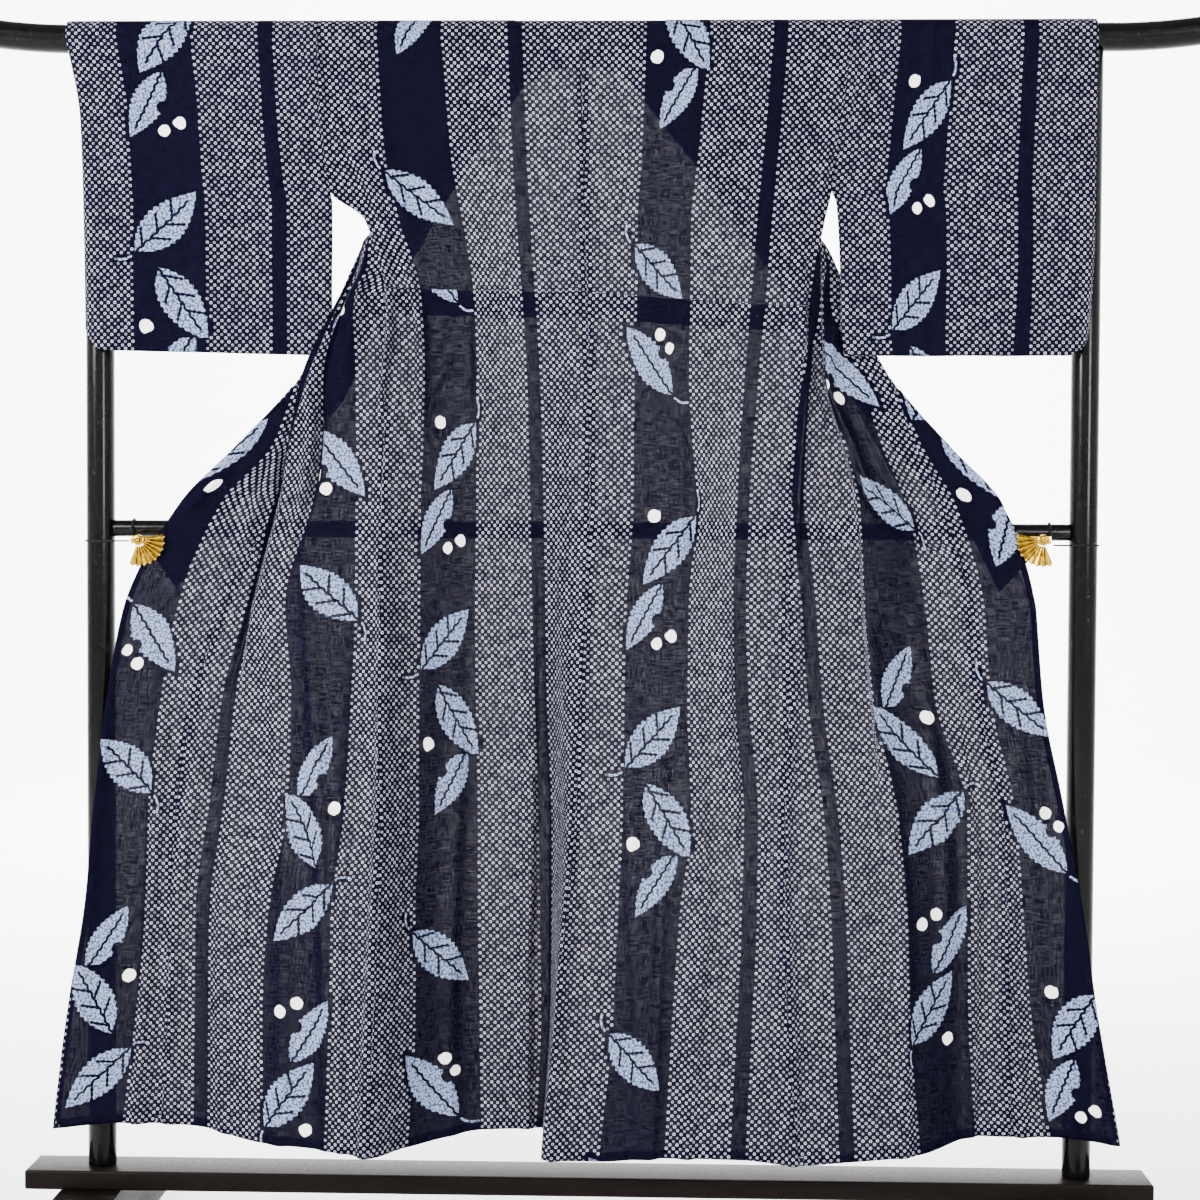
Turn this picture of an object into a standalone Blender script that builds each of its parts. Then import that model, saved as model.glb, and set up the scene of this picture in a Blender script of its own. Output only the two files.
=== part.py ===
"""A cotton yukata spread over the rail of a kimono stand, back outwards, its fronts drawn out to two clips.

Metres, +Z up. X runs along the rail, -Y is the side that the garment's back faces, and the origin is on the
floor under the middle of the stand. The cloth goes over the rail as one bundle: back panels and sleeve backs
outermost (layer 0), fronts and sleeve fronts under them (layer 1), and the collar band next to the rail
(layer 2). Its far ends hang behind the rail as a short flap, where the shoulder fold is.
"""

import math

import bmesh
import bpy
import numpy as np
from mathutils import Matrix

# Stand
RAIL_Z = 1.543
RAIL_R = 0.018
RAIL_HALF = 0.80
UPSWEEP_FROM = 0.66
UPSWEEP = 0.012
POST_X = 0.632
POST_R = 0.018
CROSSBAR_Z = 0.915
CROSSBAR_R = 0.0108
BEAM_HALF = 0.725
BEAM_DEPTH = 0.068
BEAM_TOP = 0.085
BEAM_THICK = 0.025
FOOT_X = 0.640
FOOT_HALF = 0.20
FOOT_TOP_W = 0.078
FOOT_FLARE = 0.016  # how much further each side stands out at the floor
FOOT_TOE = 0.020  # height of its ends
FOOT_LEDGE = 0.008  # how far its flat top goes on beyond the beam
RIM = 0.003  # rounding of the beam's edges
SADDLE_HALF = 0.05  # half the length of the cutter that seats the rail in a post

# Cloth
WALL = 0.001
LAYER = 0.0015
OUTER_R = 0.0224  # middle of the outermost wall where it passes over the rail
FLAP = 0.038  # how far the shoulder fold hangs below the rail's axis, behind it
SEAM = 0.0003
NEST = 0.0003  # clearance between touching hard pieces
CROSSING = 1.285  # where each front swings out from under the back
GATHER, GATHERED = 0.005, 0.035  # from this far above it to this far below, a front comes out to layer 0
FOLD_TOP = 1.31  # the vertical folds die out here
EDGE_FOLD_TOP = 0.85  # and those of the overlaps' edges here
NECK_L = 9  # columns between which the back stops at the neck, just past the top of the rail
NECK_R = 11 + 1 / 3
BAND_BACK = 0.004  # extra room behind the fronts for the collar band, below the crossing
BAND_FROM, BAND_OVER = 1.36, 0.06  # that room opens from this height down, over this far
TUCK_DEPTH = 0.033
TUCK_LAYER = 1.4
MITRE = 0.6  # a wall bent sharply between two rows or columns is thickened there by up to 1 / MITRE

# The rows of the body's cloth, from the hem up. The overlaps have the first group. The others have both, and
# then go round the rail in twelfths of a half turn and down the flap.
LOWER_ROWS = (0.13, 0.23, 0.34, 0.45, 0.56, 0.66, 0.76, 0.86, 0.95, 1.04, 1.095)
UPPER_ROWS = (1.17, 1.23, 1.26, 1.285, 1.293, 1.301, 1.31, 1.33, 1.345, 1.40, 1.47, 1.543)
HANG = LOWER_ROWS + UPPER_ROWS
TURN = tuple((i + 1) / 12 for i in range(12)) + (1.5, 2.0)
HEM = HANG[0]
NECK_ROW = len(HANG) + 3  # the back neck's edge

# Where each seam and stripe edge lies across the body, in millimetres, a row for each height in metres.
# Back: left side seam, leaf strip's two edges, narrow stripe, centre back, then the same to the right side.
BACK = {
    # height: side_l leaf_a leaf_b narrow centre leaf_a leaf_b narrow side_r
    1.543: (-347, -273, -189, -97, -12, 70, 153, 240, 330),
    1.45: (-344, -267, -181, -93, -10, 67, 144, 233, 319),
    1.38: (-337, -260, -174, -90, -8, 64, 137, 227, 311),
    1.345: (-331, -253, -168, -88, -7, 62, 133, 224, 306),
    1.31: (-287, -244, -161, -86, -6, 60, 130, 221, 298),
    1.21: (-259, -214, -146, -79, -2, 60, 129, 213, 279),
    1.11: (-257, -208, -142, -72, 1, 57, 128, 204, 268),
    1.02: (-257, -210, -142, -69, 2, 57, 133, 197, 260),
    0.95: (-259, -213, -142, -67, 3, 57, 139, 193, 255),
    0.82: (-259, -213, -143, -64, 0, 49, 129, 189, 251),
    0.70: (-261, -213, -142, -61, -7, 47, 128, 193, 253),
    0.56: (-255, -213, -139, -54, -12, 46, 133, 205, 248),
    0.43: (-257, -217, -138, -51, -24, 40, 119, 204, 249),
    0.30: (-263, -216, -136, -49, -36, 35, 111, 199, 253),
    0.13: (-269, -226, -133, -57, -52, 18, 102, 191, 268),
}
# Fronts and overlap panels, outwards from the side seam.
FRONT_LEFT = {
    # height: okumi_edge okumi_leaf okumi_seam narrow leaf_b leaf_a
    1.285: (-291, -290.5, -290, -286.7, -283.3, -280),
    1.25: (-305, -303, -301, -296, -290, -281),
    1.21: (-320, -319, -318, -314, -308, -297),
    1.11: (-368, -366.5, -365, -356, -338, -294),
    1.02: (-453, -397, -384, -366, -339, -292),
    0.95: (-522, -458, -400, -386, -348, -292),
    0.82: (-594, -522, -466, -421, -379, -291),
    0.70: (-617, -546, -503, -454, -375, -295),
    0.56: (-633, -563, -529, -476, -380, -303),
    0.43: (-645, -567, -536, -493, -404, -318),
    0.30: (-667, -579, -539, -495, -412, -320),
    0.13: (-688, -600, -551, -497, -410, -326),
}
FRONT_RIGHT = {
    # height: narrow leaf_b leaf_a okumi_seam okumi_leaf okumi_edge
    1.285: (292, 293.5, 295, 297, 297.5, 298),
    1.25: (293, 300, 306, 312, 314, 316),
    1.21: (285, 295, 307, 324, 328, 332),
    1.11: (276, 300, 346, 381, 382.5, 384),
    1.02: (268, 323, 386, 416, 424, 461),
    0.95: (266, 338, 414, 450, 463, 525),
    0.82: (278, 348, 430, 485, 502, 568),
    0.70: (287, 359, 443, 498, 512, 579),
    0.56: (307, 390, 485, 528, 544, 607),
    0.43: (317, 402, 487, 536, 556, 631),
    0.30: (322, 407, 489, 541, 567, 649),
    0.13: (329, 422, 500, 545, 596, 680),
}
# The hem: how far each column's fold stands out there, and the hem's height, in millimetres.
HEM_NEAR = (
    (15, 0, 0, 5, 37, 60)  # left overlap and front
    + (79, 40, 0, 0, 78, 78, 80, 82, 83)  # back
    + (78, 52, 0, 0, 0, 20)  # right front and overlap
)
HEM_HEIGHT = (
    (141, 146, 146, 143, 133, 132)  # left overlap and front
    + (128, 130, 143, 146, 128, 127, 133, 133, 127)  # back
    + (130, 133, 143, 142, 142, 139)  # right front and overlap
)
SIDE_L, CENTRE, SIDE_R = 6, 10, 14  # column numbers
SEAM_L, SEAM_R, LAST = 2, 18, 20

# The collar's seam on the hidden upper front, and how far each front's outer edge is pushed back as it swings
# out, in millimetres.
UPPER_SEAM = {
    "left": {1.543: -104, 1.528: -108, 1.492: -142, 1.373: -222, 1.31: -268, 1.285: -290},
    "right": {1.543: 92, 1.528: 94, 1.494: 112, 1.406: 182, 1.31: 250, 1.285: 297},
}
TWIST = {
    "left": {1.40: 0, 1.345: 8, 1.31: 13, 1.285: 14, 1.25: 6, 1.22: -2, 1.195: -12, 1.12: -11, 1.02: 0},
    "right": {1.40: 0, 1.345: 8, 1.31: 13, 1.285: 14, 1.25: 14, 1.21: 13, 1.14: 10, 1.08: 3, 1.0: 0},
}
# The collar band from the back neck down each front, in millimetres: its seam, then its free edge. Heights
# above the rail's axis are measured round the rail.
COLLAR = {
    "left": (
        # seam x, seam height, free x, free height
        (-6, 1559, -6, 1504),
        (-60, 1553, -47, 1498),
        (-108, 1528, -82, 1479),
        (-142, 1492, -96, 1461),
        (-222, 1373, -174, 1346),
        (-268, 1310, -206, 1292),
        (-290, 1285, -213, 1278),
        (-305, 1250, -232, 1248),
        (-320, 1210, -265, 1193),
        (-368, 1110, -312, 1080),
        (-453, 1020, -412, 982),
        (-522, 950, -484, 912),
        (-566, 887, -530, 838),
    ),
    "right": (
        (-6, 1559, -6, 1504),
        (47, 1553, 35, 1493),
        (92, 1528, 58, 1472),
        (112, 1494, 70, 1457),
        (182, 1406, 137, 1373),
        (250, 1310, 199, 1285),
        (297, 1285, 212, 1266),
        (316, 1250, 232, 1238),
        (332, 1210, 262, 1195),
        (384, 1110, 343, 1074),
        (461, 1020, 420, 984),
        (525, 950, 484, 914),
        (562, 881, 523, 838),
    ),
}
# Sleeves: the cuff's edge and the inner edge below the armhole in millimetres, and the bottom's height at the
# cuff and at the body.
SLEEVE = {
    "left": {
        "cuff": {1.543: -670, 1.435: -651, 1.27: -646, 1.14: -645},
        "arm": {1.345: -331, 1.33: -328.5, 1.14: -328},
        "bottom": (1.143, 1.136),
    },
    "right": {
        "cuff": {1.543: 639, 1.43: 638, 1.28: 637, 1.20: 634, 1.14: 629},
        "arm": {1.345: 306, 1.33: 312, 1.25: 317, 1.17: 319, 1.14: 323},
        "bottom": (1.138, 1.137),
    },
}
SLEEVE_NEAR = (1, 4, 0, 6, 1, 3, 0)  # folds at the sleeve's bottom from cuff to body, in millimetres
SLEEVE_CORNER = 0.028  # radius of the corner at the cuff's foot
ARMHOLE = 1.345  # the sleeve is sewn to the body above this height
TUCK_TOP = {"left": (1.2215, 1.2175), "right": (1.2165, 1.197)}  # height at the outer end or the centre back

# Clips
FAN_R = 0.033
FAN_RINGS = (0.008, 0.016, 0.025, FAN_R)
FAN_PLEATS = 9
FAN_PLEAT = 0.0012  # a pleat's depth at the rim
FAN_PLEAT_HUB = 0.3  # and the share of it that is left at the middle
FAN_SCALLOP = 0.0012
FAN_WALL = 0.0008
FANS = {  # pivot x and z, and the first and last rib's angle in degrees
    "left": (-0.576, 0.900, -112, 14),
    "right": (0.576, 0.905, 166, 292),
}
FAN_CLEAR = 0.0045  # from the middle of the cloth's wall to the fan's
JAW_FRONT = 0.0022  # the jaw's faces, in front of and behind the middle of the cloth's wall
TONGUE_BACK = 0.0085
JAW_BACK = 0.0100
JAW_HALF = 0.005
JAW_BLOCK = (-0.011, -0.001)  # the block's sides, from the pivot towards the garment's middle
TONGUE = 0.018
ELASTIC_R = 0.0008
ELASTIC_PINCH = 0.0012  # half the gap between a loop's two ends
ELASTIC_BACK = 0.004  # where the loops meet the jaw: behind the middle of the cloth,
ELASTIC_DROP = 0.008  # below the crossbar's axis,
POST_LOOP_OUT = 0.0016  # and the post's loop further out than the crossbar's
POST_LOOP_BELOW = 0.0045  # and further below the crossbar
LOOP_STEPS = 18


def material(name, colour, roughness, metallic=0.0):
    made = bpy.data.materials.new(name)
    made.use_nodes = True
    shader = made.node_tree.nodes["Principled BSDF"]
    shader.inputs["Base Color"].default_value = (*colour, 1)
    shader.inputs["Roughness"].default_value = roughness
    shader.inputs["Metallic"].default_value = metallic
    return made


def add(name, mesh, finish):
    obj = bpy.data.objects.new(name, mesh)
    mesh.materials.append(finish)
    bpy.context.scene.collection.objects.link(obj)
    return obj


def from_bmesh(name, shape, finish):
    bmesh.ops.recalc_face_normals(shape, faces=shape.faces)
    mesh = bpy.data.meshes.new(name)
    shape.to_mesh(mesh)
    shape.free()
    return add(name, mesh, finish)


def smooth(knots, values, at):
    """A cubic through the values at rising knots that never overshoots them."""
    knots = np.asarray(knots, float)
    values = np.asarray(values, float)
    at = min(max(at, knots[0]), knots[-1])
    step = np.diff(knots)
    rise = np.diff(values) / step
    slope = np.concatenate([rise[:1], np.zeros(len(knots) - 2), rise[-1:]])
    for i in range(1, len(knots) - 1):
        if rise[i - 1] * rise[i] > 0:
            slope[i] = 2 / (1 / rise[i - 1] + 1 / rise[i])
    i = min(int(np.searchsorted(knots, at, "right")) - 1, len(knots) - 2)
    t = (at - knots[i]) / step[i]
    return (
        values[i] * (1 + 2 * t) * (1 - t) ** 2
        + slope[i] * step[i] * t * (1 - t) ** 2
        + values[i + 1] * t * t * (3 - 2 * t)
        + slope[i + 1] * step[i] * t * t * (t - 1)
    )


def ease(t):
    t = min(max(t, 0), 1)
    return t * t * (3 - 2 * t)


def by_height(table, height):
    """The value in metres of a table {height: millimetres}."""
    rows = sorted(table.items())
    return smooth([row[0] for row in rows], [row[1] for row in rows], height) / 1000


def column_xs(height):
    """x of every column at this height, from the left overlap's edge to the right one's."""

    def read(table):
        width = len(next(iter(table.values())))
        return [by_height({h: row[i] for h, row in table.items()}, height) for i in range(width)]

    return read(FRONT_LEFT) + read(BACK) + read(FRONT_RIGHT)


def near(column, height):
    """How far the vertical folds stand out at a column: nothing at the shoulders, all at the hem."""
    s = min(max((FOLD_TOP - height) / (FOLD_TOP - HEM), 0), 1)
    out = smooth(range(LAST + 1), HEM_NEAR, column) / 1000 * s * (2 - s)
    if not SEAM_L < column < SEAM_R:
        out *= ease((EDGE_FOLD_TOP - height) / (EDGE_FOLD_TOP - HEM))
    return out


def column_at(x, height):
    """The column, whole or part, that passes x at this height."""
    xs = column_xs(height)
    low, high = 0.0, float(LAST)
    for _ in range(16):
        middle = (low + high) / 2
        if smooth(range(LAST + 1), xs, middle) < x:
            low = middle
        else:
            high = middle
    return low


def over_rail(layer, g, out=0.0):
    """(y, z) of a layer: g up to 0 hangs below the rail's axis, 0 to 1 turns over it, 1 to 2 is the flap."""
    radius = OUTER_R - layer * LAYER
    if g <= 0:
        return -radius - out, RAIL_Z + g
    if g <= 1:
        return -radius * math.cos(math.pi * g), RAIL_Z + radius * math.sin(math.pi * g)
    return radius, RAIL_Z - (g - 1) * FLAP


def back_point(column, g):
    height = RAIL_Z + min(g, 0)
    if height > CROSSING:
        column = min(max(column, SIDE_L), SIDE_R)
    y, z = over_rail(0, g, near(column, height))
    return np.array([smooth(range(LAST + 1), column_xs(height), column), y, z])


def front_point(column, g):
    """A front and its overlap panel: beside the back below the crossing, and under it above."""
    height = RAIL_Z + min(g, 0)
    side, side_column, seam_column = (
        ("left", SIDE_L, SEAM_L) if column < CENTRE else ("right", SIDE_R, SEAM_R)
    )
    part = (column - side_column) / (seam_column - side_column)
    xs = column_xs(height)
    if height > CROSSING:
        seam = by_height(UPPER_SEAM[side], height)
        x = xs[side_column] + (seam - xs[side_column]) * part
    else:
        x = smooth(range(LAST + 1), xs, column)
    layer = ease((height - CROSSING + GATHERED) / (GATHERED - GATHER))
    y, z = over_rail(layer, g, near(column, height))
    if g <= 0:
        y += by_height(TWIST[side], height) * min(max(part, 0), 1)
    return np.array([x, y, z])


def collar_point(side, along, part):
    """The band: along counts the table's rows, and part runs from its seam to its free edge."""
    rows = COLLAR[side]
    knots = range(len(rows))
    seam_x, seam_h, free_x, free_h = (
        smooth(knots, [row[i] for row in rows], along) / 1000 for i in range(4)
    )
    x = seam_x + (free_x - seam_x) * part
    height = seam_h + (free_h - seam_h) * part
    radius = OUTER_R - 2 * LAYER
    g = (height - RAIL_Z) / (math.pi * radius if height > RAIL_Z else 1)
    column = column_at(x, height)
    y, z = over_rail(2, g, near(column, height))
    if g <= 0:
        pushes = [1 - part]
        if height < CROSSING:
            outward = SIDE_L - column if side == "left" else column - SIDE_R
            pushes.append(min(max(outward / (SIDE_L - SEAM_L), 0), 1))
        twist = by_height(TWIST[side], height)
        y += max(twist * push for push in pushes) + BAND_BACK * ease((BAND_FROM - height) / BAND_OVER)
    return np.array([x, y, z])


def between(values):
    """Each value with the ones before and after it, carried on past the ends."""
    spaced = [2 * values[0] - values[1], *values, 2 * values[-1] - values[-2]]
    return list(zip(spaced, values, spaced[2:]))


def direction(before, here, after):
    """The way a surface runs through a point, shorter where it bends there."""
    steps = [here - before, after - here]
    units = [step / np.linalg.norm(step) for step in steps if np.linalg.norm(step) > 1e-6]
    return sum(units) / len(units)


def mitred_normal(point, us, vs):
    """The normal at the middles of us and vs, longer where the surface bends, to keep a wall's thickness."""
    (left, u, right), (below, v, above) = us, vs
    here = point(u, v)
    across = direction(point(left, v), here, point(right, v))
    along = direction(point(u, below), here, point(u, above))
    normal = np.cross(across, along)
    bend = max(np.linalg.norm(across), MITRE) * max(np.linalg.norm(along), MITRE)
    return normal / np.linalg.norm(normal) / bend


def wall(name, point, us, vs, finish, keep=None):
    """A closed wall of cloth round the surface point(u, v).

    It is trimmed by half a seam's gap at its first and last u, and keep(u, v) says, for the middle of a cell,
    whether the cloth is there.
    """
    grid = [[point(u, v) for v in vs] for u in us]
    normals = [[mitred_normal(point, u, v) for v in between(vs)] for u in between(us)]
    for edge, inside in ((0, 1), (-1, -2)):
        for j, spot in enumerate(grid[edge]):
            way = grid[inside][j] - spot
            grid[edge][j] = spot + way / np.linalg.norm(way) * SEAM / 2
    shape = bmesh.new()
    front, rear = (
        [
            [shape.verts.new(spot + normal * sign * WALL / 2) for spot, normal in zip(spots, ways)]
            for spots, ways in zip(grid, normals)
        ]
        for sign in (1, -1)
    )
    rims = {}
    for i in range(len(us) - 1):
        for j in range(len(vs) - 1):
            if keep and not keep((us[i] + us[i + 1]) / 2, (vs[j] + vs[j + 1]) / 2):
                continue
            ring = ((i, j), (i + 1, j), (i + 1, j + 1), (i, j + 1))
            turned = ring[1:] + ring[:1]
            spans = [np.linalg.norm(grid[p[0]][p[1]] - grid[q[0]][q[1]]) for p, _, q, _ in (ring, turned)]
            a, b, c, d = turned if spans[1] < spans[0] else ring
            for corners in ((a, b, c), (a, c, d)):
                shape.faces.new([front[p][q] for p, q in corners])
                shape.faces.new([rear[p][q] for p, q in reversed(corners)])
            for start, end in zip(ring, turned):
                rims[frozenset((start, end))] = None if frozenset((start, end)) in rims else (start, end)
    for start, end in filter(None, rims.values()):
        (i, j), (p, q) = start, end
        shape.faces.new((front[i][j], rear[i][j], rear[p][q], front[p][q]))
    bmesh.ops.delete(shape, geom=[v for v in shape.verts if not v.link_faces], context="VERTS")
    return from_bmesh(name, shape, finish)


def hung(point, column, v):
    """A point on row v of a body panel, where row 0 is the hem and the last rows go over the rail."""
    row = HANG + tuple(RAIL_Z + turn for turn in TURN)
    i = min(max(int(v), 0), len(row) - 2)
    level = row[i] + (row[i + 1] - row[i]) * (v - i)
    if level <= RAIL_Z:
        low = smooth(range(LAST + 1), HEM_HEIGHT, column) / 1000
        level = low + (level - HEM) * (RAIL_Z - low) / (RAIL_Z - HEM)
    return point(column, level - RAIL_Z)


def columns(first, last, each):
    return [first + i / each for i in range((last - first) * each + 1)]


def body_panels(cotton):
    rows = range(len(HANG) + len(TURN))
    below = range(len(LOWER_ROWS))

    def back(column, v):
        return hung(back_point, column, v)

    def front(column, v):
        return hung(front_point, column, v)

    def keep(column, v):
        return v < NECK_ROW or not NECK_L < column < NECK_R

    wall("back_left", back, columns(SIDE_L, CENTRE, 3), rows, cotton, keep=keep)
    wall("back_right", back, columns(CENTRE, SIDE_R, 3), rows, cotton, keep=keep)
    wall("front_left", front, columns(SEAM_L, SIDE_L, 2), rows, cotton)
    wall("front_right", front, columns(SIDE_R, SEAM_R, 2), rows, cotton)
    wall("okumi_left", front, columns(0, SEAM_L, 2), below, cotton)
    wall("okumi_right", front, columns(SEAM_R, LAST, 2), below, cotton)


def waist_tuck(side, cotton):
    """The pleat taken up inside the waist, on the inner side of the back."""
    tops = TUCK_TOP[side]
    first, last = (SIDE_L, CENTRE) if side == "left" else (CENTRE, SIDE_R)

    def point(column, v):
        top = tops[0] + (tops[1] - tops[0]) * (column - first) / (last - first)
        height = top - TUCK_DEPTH * (1 - v)
        x, _, _ = back_point(column, height - RAIL_Z)
        y, z = over_rail(TUCK_LAYER, height - RAIL_Z, near(column, height))
        return np.array([x, y, z])

    wall("waist_tuck_" + side, point, columns(first, last, 3), (0, 0.5, 1), cotton)


def collar(side, cotton):
    each = 3
    last = len(COLLAR[side]) - 1
    spots = [i / each for i in range(last * each + 1)]
    parts = (0, 0.1, 0.2, 0.32, 0.66, 1)
    wall("collar_" + side, lambda t, w: collar_point(side, t, w), spots, parts, cotton)


def sleeve(side, cotton):
    """One width of cloth folded at the shoulder: up, over the rail, round the fold, back over it and down."""
    table = SLEEVE[side]
    turn_r = LAYER / 2

    def path(part, s):
        """(y, z) at s: up the outer layer to 1, over to 2, down the flap to 3, round to 4, and back by 7."""
        hanging = s <= 1 or s >= 6
        low = bottom(part)
        layer = 0 if s <= 3 else 1
        if hanging:
            up = s if s <= 1 else 7 - s
            height = low + (RAIL_Z - low) * min(max(up, -0.01), 1)
            fold = smooth(range(len(SLEEVE_NEAR)), SLEEVE_NEAR, part * (len(SLEEVE_NEAR) - 1)) / 1000
            return over_rail(layer, height - RAIL_Z, fold * (RAIL_Z - height) / (RAIL_Z - low))
        if 3 < s < 4:
            angle = math.pi * (s - 3)
            centre = OUTER_R - turn_r
            return centre + turn_r * math.cos(angle), RAIL_Z - FLAP - turn_r * math.sin(angle)
        return over_rail(layer, s - 1 if s <= 3 else 6 - s)

    def bottom(part):
        width = abs(by_height(table["arm"], 1.2) - by_height(table["cuff"], 1.2))
        low = table["bottom"][0] + (table["bottom"][1] - table["bottom"][0]) * part
        short = max(SLEEVE_CORNER - part * width, 0)
        return low + SLEEVE_CORNER - math.sqrt(SLEEVE_CORNER**2 - short**2)

    def point(part, s):
        y, z = path(min(max(part, 0), 1), s)
        level = z if s <= 1 or s >= 6 else RAIL_Z
        cuff = by_height(table["cuff"], level)
        if level > ARMHOLE:
            arm = column_xs(level)[SIDE_L if side == "left" else SIDE_R]
        else:
            arm = by_height(table["arm"], level)
        return np.array([cuff + (arm - cuff) * part, y, z])

    low = table["bottom"][1]
    hang = [i / 5 * (ARMHOLE - low) / (RAIL_Z - low) for i in range(6)]
    hang += [(height - low) / (RAIL_Z - low) for height in HANG if height > ARMHOLE]
    over = [1 + i / 12 for i in range(1, 13)]
    outer = hang + over + [2.5, 3]
    stations = outer + [3.25, 3.5, 3.75] + [7 - s for s in reversed(outer)]
    parts = [0, 0.03, 0.06, 0.12, 0.3, 0.5, 0.67, 0.84, 1]
    wall("sleeve_" + side, point, parts, stations, cotton)


def tube(name, points, radius, sides, finish, closed=False):
    """A round bar or cord along the points, drawn as a bevelled curve."""
    curve = bpy.data.curves.new(name, "CURVE")
    curve.dimensions = "3D"
    curve.bevel_depth = radius
    curve.bevel_resolution = sides
    curve.use_fill_caps = True
    line = curve.splines.new("POLY")
    line.points.add(len(points) - 1)
    for spot, place in zip(line.points, points):
        spot.co = (*place, 1)
    line.use_cyclic_u = closed
    return add(name, curve, finish)


def cylinder(name, radius, low, high, sides, finish):
    """A straight round bar between two points on one of the axes, with softened ends."""
    low, high = np.array(low, float), np.array(high, float)
    shape = bmesh.new()
    bmesh.ops.create_cone(
        shape,
        cap_ends=True,
        segments=sides,
        radius1=radius,
        radius2=radius,
        depth=float(np.linalg.norm(high - low)),
    )
    if high[2] == low[2]:
        bmesh.ops.rotate(shape, verts=shape.verts, matrix=Matrix.Rotation(math.pi / 2, 3, "Y"))
    bmesh.ops.translate(shape, verts=shape.verts, vec=(low + high) / 2)
    return from_bmesh(name, shape, finish)


def stand(lacquer):
    steps = [i / 6 for i in range(7)]
    ends = [(UPSWEEP_FROM + (RAIL_HALF - UPSWEEP_FROM) * t, 0, RAIL_Z + UPSWEEP * t * t) for t in steps]
    spots = [(-x, y, z) for x, y, z in reversed(ends)] + ends
    tube("top_rail", spots, RAIL_R, 8, lacquer)
    for side, sign in (("left", -1), ("right", 1)):
        x = sign * POST_X
        post = cylinder("post_" + side, POST_R, (x, 0, BEAM_TOP + NEST), (x, 0, RAIL_Z), 32, lacquer)
        ends = (-SADDLE_HALF, 0, 0), (SADDLE_HALF, 0, 0)
        saddle = cylinder("saddle_" + side, RAIL_R + NEST, *ends, 48, lacquer)
        saddle.location = (x, 0, RAIL_Z)
        saddle.hide_render = True
        saddle.display_type = "WIRE"
        cut = post.modifiers.new("Saddle", "BOOLEAN")
        cut.operation = "DIFFERENCE"
        cut.object = saddle
        foot(side, sign, lacquer)
    reach = POST_X - POST_R - NEST
    cylinder("crossbar", CROSSBAR_R, (-reach, 0, CROSSBAR_Z), (reach, 0, CROSSBAR_Z), 24, lacquer)
    shape = bmesh.new()
    bmesh.ops.create_cube(shape, size=1)
    bmesh.ops.scale(shape, vec=(2 * BEAM_HALF, BEAM_DEPTH, BEAM_THICK), verts=shape.verts)
    bmesh.ops.bevel(
        shape, geom=list(shape.edges), offset=RIM, segments=2, profile=0.5, affect="EDGES", material=-1
    )
    bmesh.ops.translate(shape, verts=shape.verts, vec=(0, 0, BEAM_TOP - BEAM_THICK / 2))
    from_bmesh("base_beam", shape, lacquer)


def foot(side, sign, lacquer):
    """A runner across the beam, flat below and arched above, wider at the floor than under the beam."""
    top = BEAM_TOP - BEAM_THICK - NEST
    flat = BEAM_DEPTH / 2 + FOOT_LEDGE
    outline = [(-FOOT_HALF, 0), (FOOT_HALF, 0)]
    for i in range(9):
        t = i / 8
        height = FOOT_TOE + (top - FOOT_TOE) * math.sin(math.pi / 2 * t)
        outline.append((FOOT_HALF - (FOOT_HALF - flat) * t, height))
    outline += [(-y, z) for y, z in reversed(outline[2:])]
    shape = bmesh.new()
    ends = []
    for way in (-1, 1):
        ends.append(
            [
                shape.verts.new((sign * FOOT_X + way * (FOOT_TOP_W / 2 + FOOT_FLARE * (1 - z / top)), y, z))
                for y, z in outline
            ]
        )
    shape.faces.new(ends[0])
    shape.faces.new(ends[1])
    for i in range(len(outline)):
        j = (i + 1) % len(outline)
        shape.faces.new((ends[0][i], ends[0][j], ends[1][j], ends[1][i]))
    from_bmesh("foot_" + side, shape, lacquer)


def corner_y(side):
    """y of the middle of the cloth's wall at the clip."""
    _, z, _, _ = FANS[side]
    return front_point(0 if side == "left" else LAST, z - RAIL_Z)[1]


def fan(side, gold):
    """A pleated metal fan that hides the clip."""
    x, z, first, last = FANS[side]
    middle = corner_y(side) - FAN_CLEAR
    ribs = 2 * FAN_PLEATS + 1

    def spot(rib, radius, shift):
        way = 1 if rib % 2 else -1
        share = radius / FAN_R
        angle = math.radians(first + (last - first) * rib / (ribs - 1))
        reach = radius + way * FAN_SCALLOP * share**6
        rise = way * FAN_PLEAT * (FAN_PLEAT_HUB + (1 - FAN_PLEAT_HUB) * share)
        return x + reach * math.cos(angle), middle - rise + shift, z + reach * math.sin(angle)

    shape = bmesh.new()
    near_face, far_face = (
        [[shape.verts.new(spot(rib, radius, shift)) for radius in FAN_RINGS] for rib in range(ribs)]
        for shift in (-FAN_WALL / 2, FAN_WALL / 2)
    )
    rings = len(FAN_RINGS)
    for u in range(ribs - 1):
        for face in (near_face, far_face):
            for v in range(rings - 1):
                shape.faces.new((face[u][v], face[u + 1][v], face[u + 1][v + 1], face[u][v + 1]))
        for v in (0, rings - 1):
            shape.faces.new((near_face[u][v], near_face[u + 1][v], far_face[u + 1][v], far_face[u][v]))
    for u in (0, ribs - 1):
        for v in range(rings - 1):
            shape.faces.new((near_face[u][v], near_face[u][v + 1], far_face[u][v + 1], far_face[u][v]))
    from_bmesh("clip_fan_" + side, shape, gold)


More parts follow.
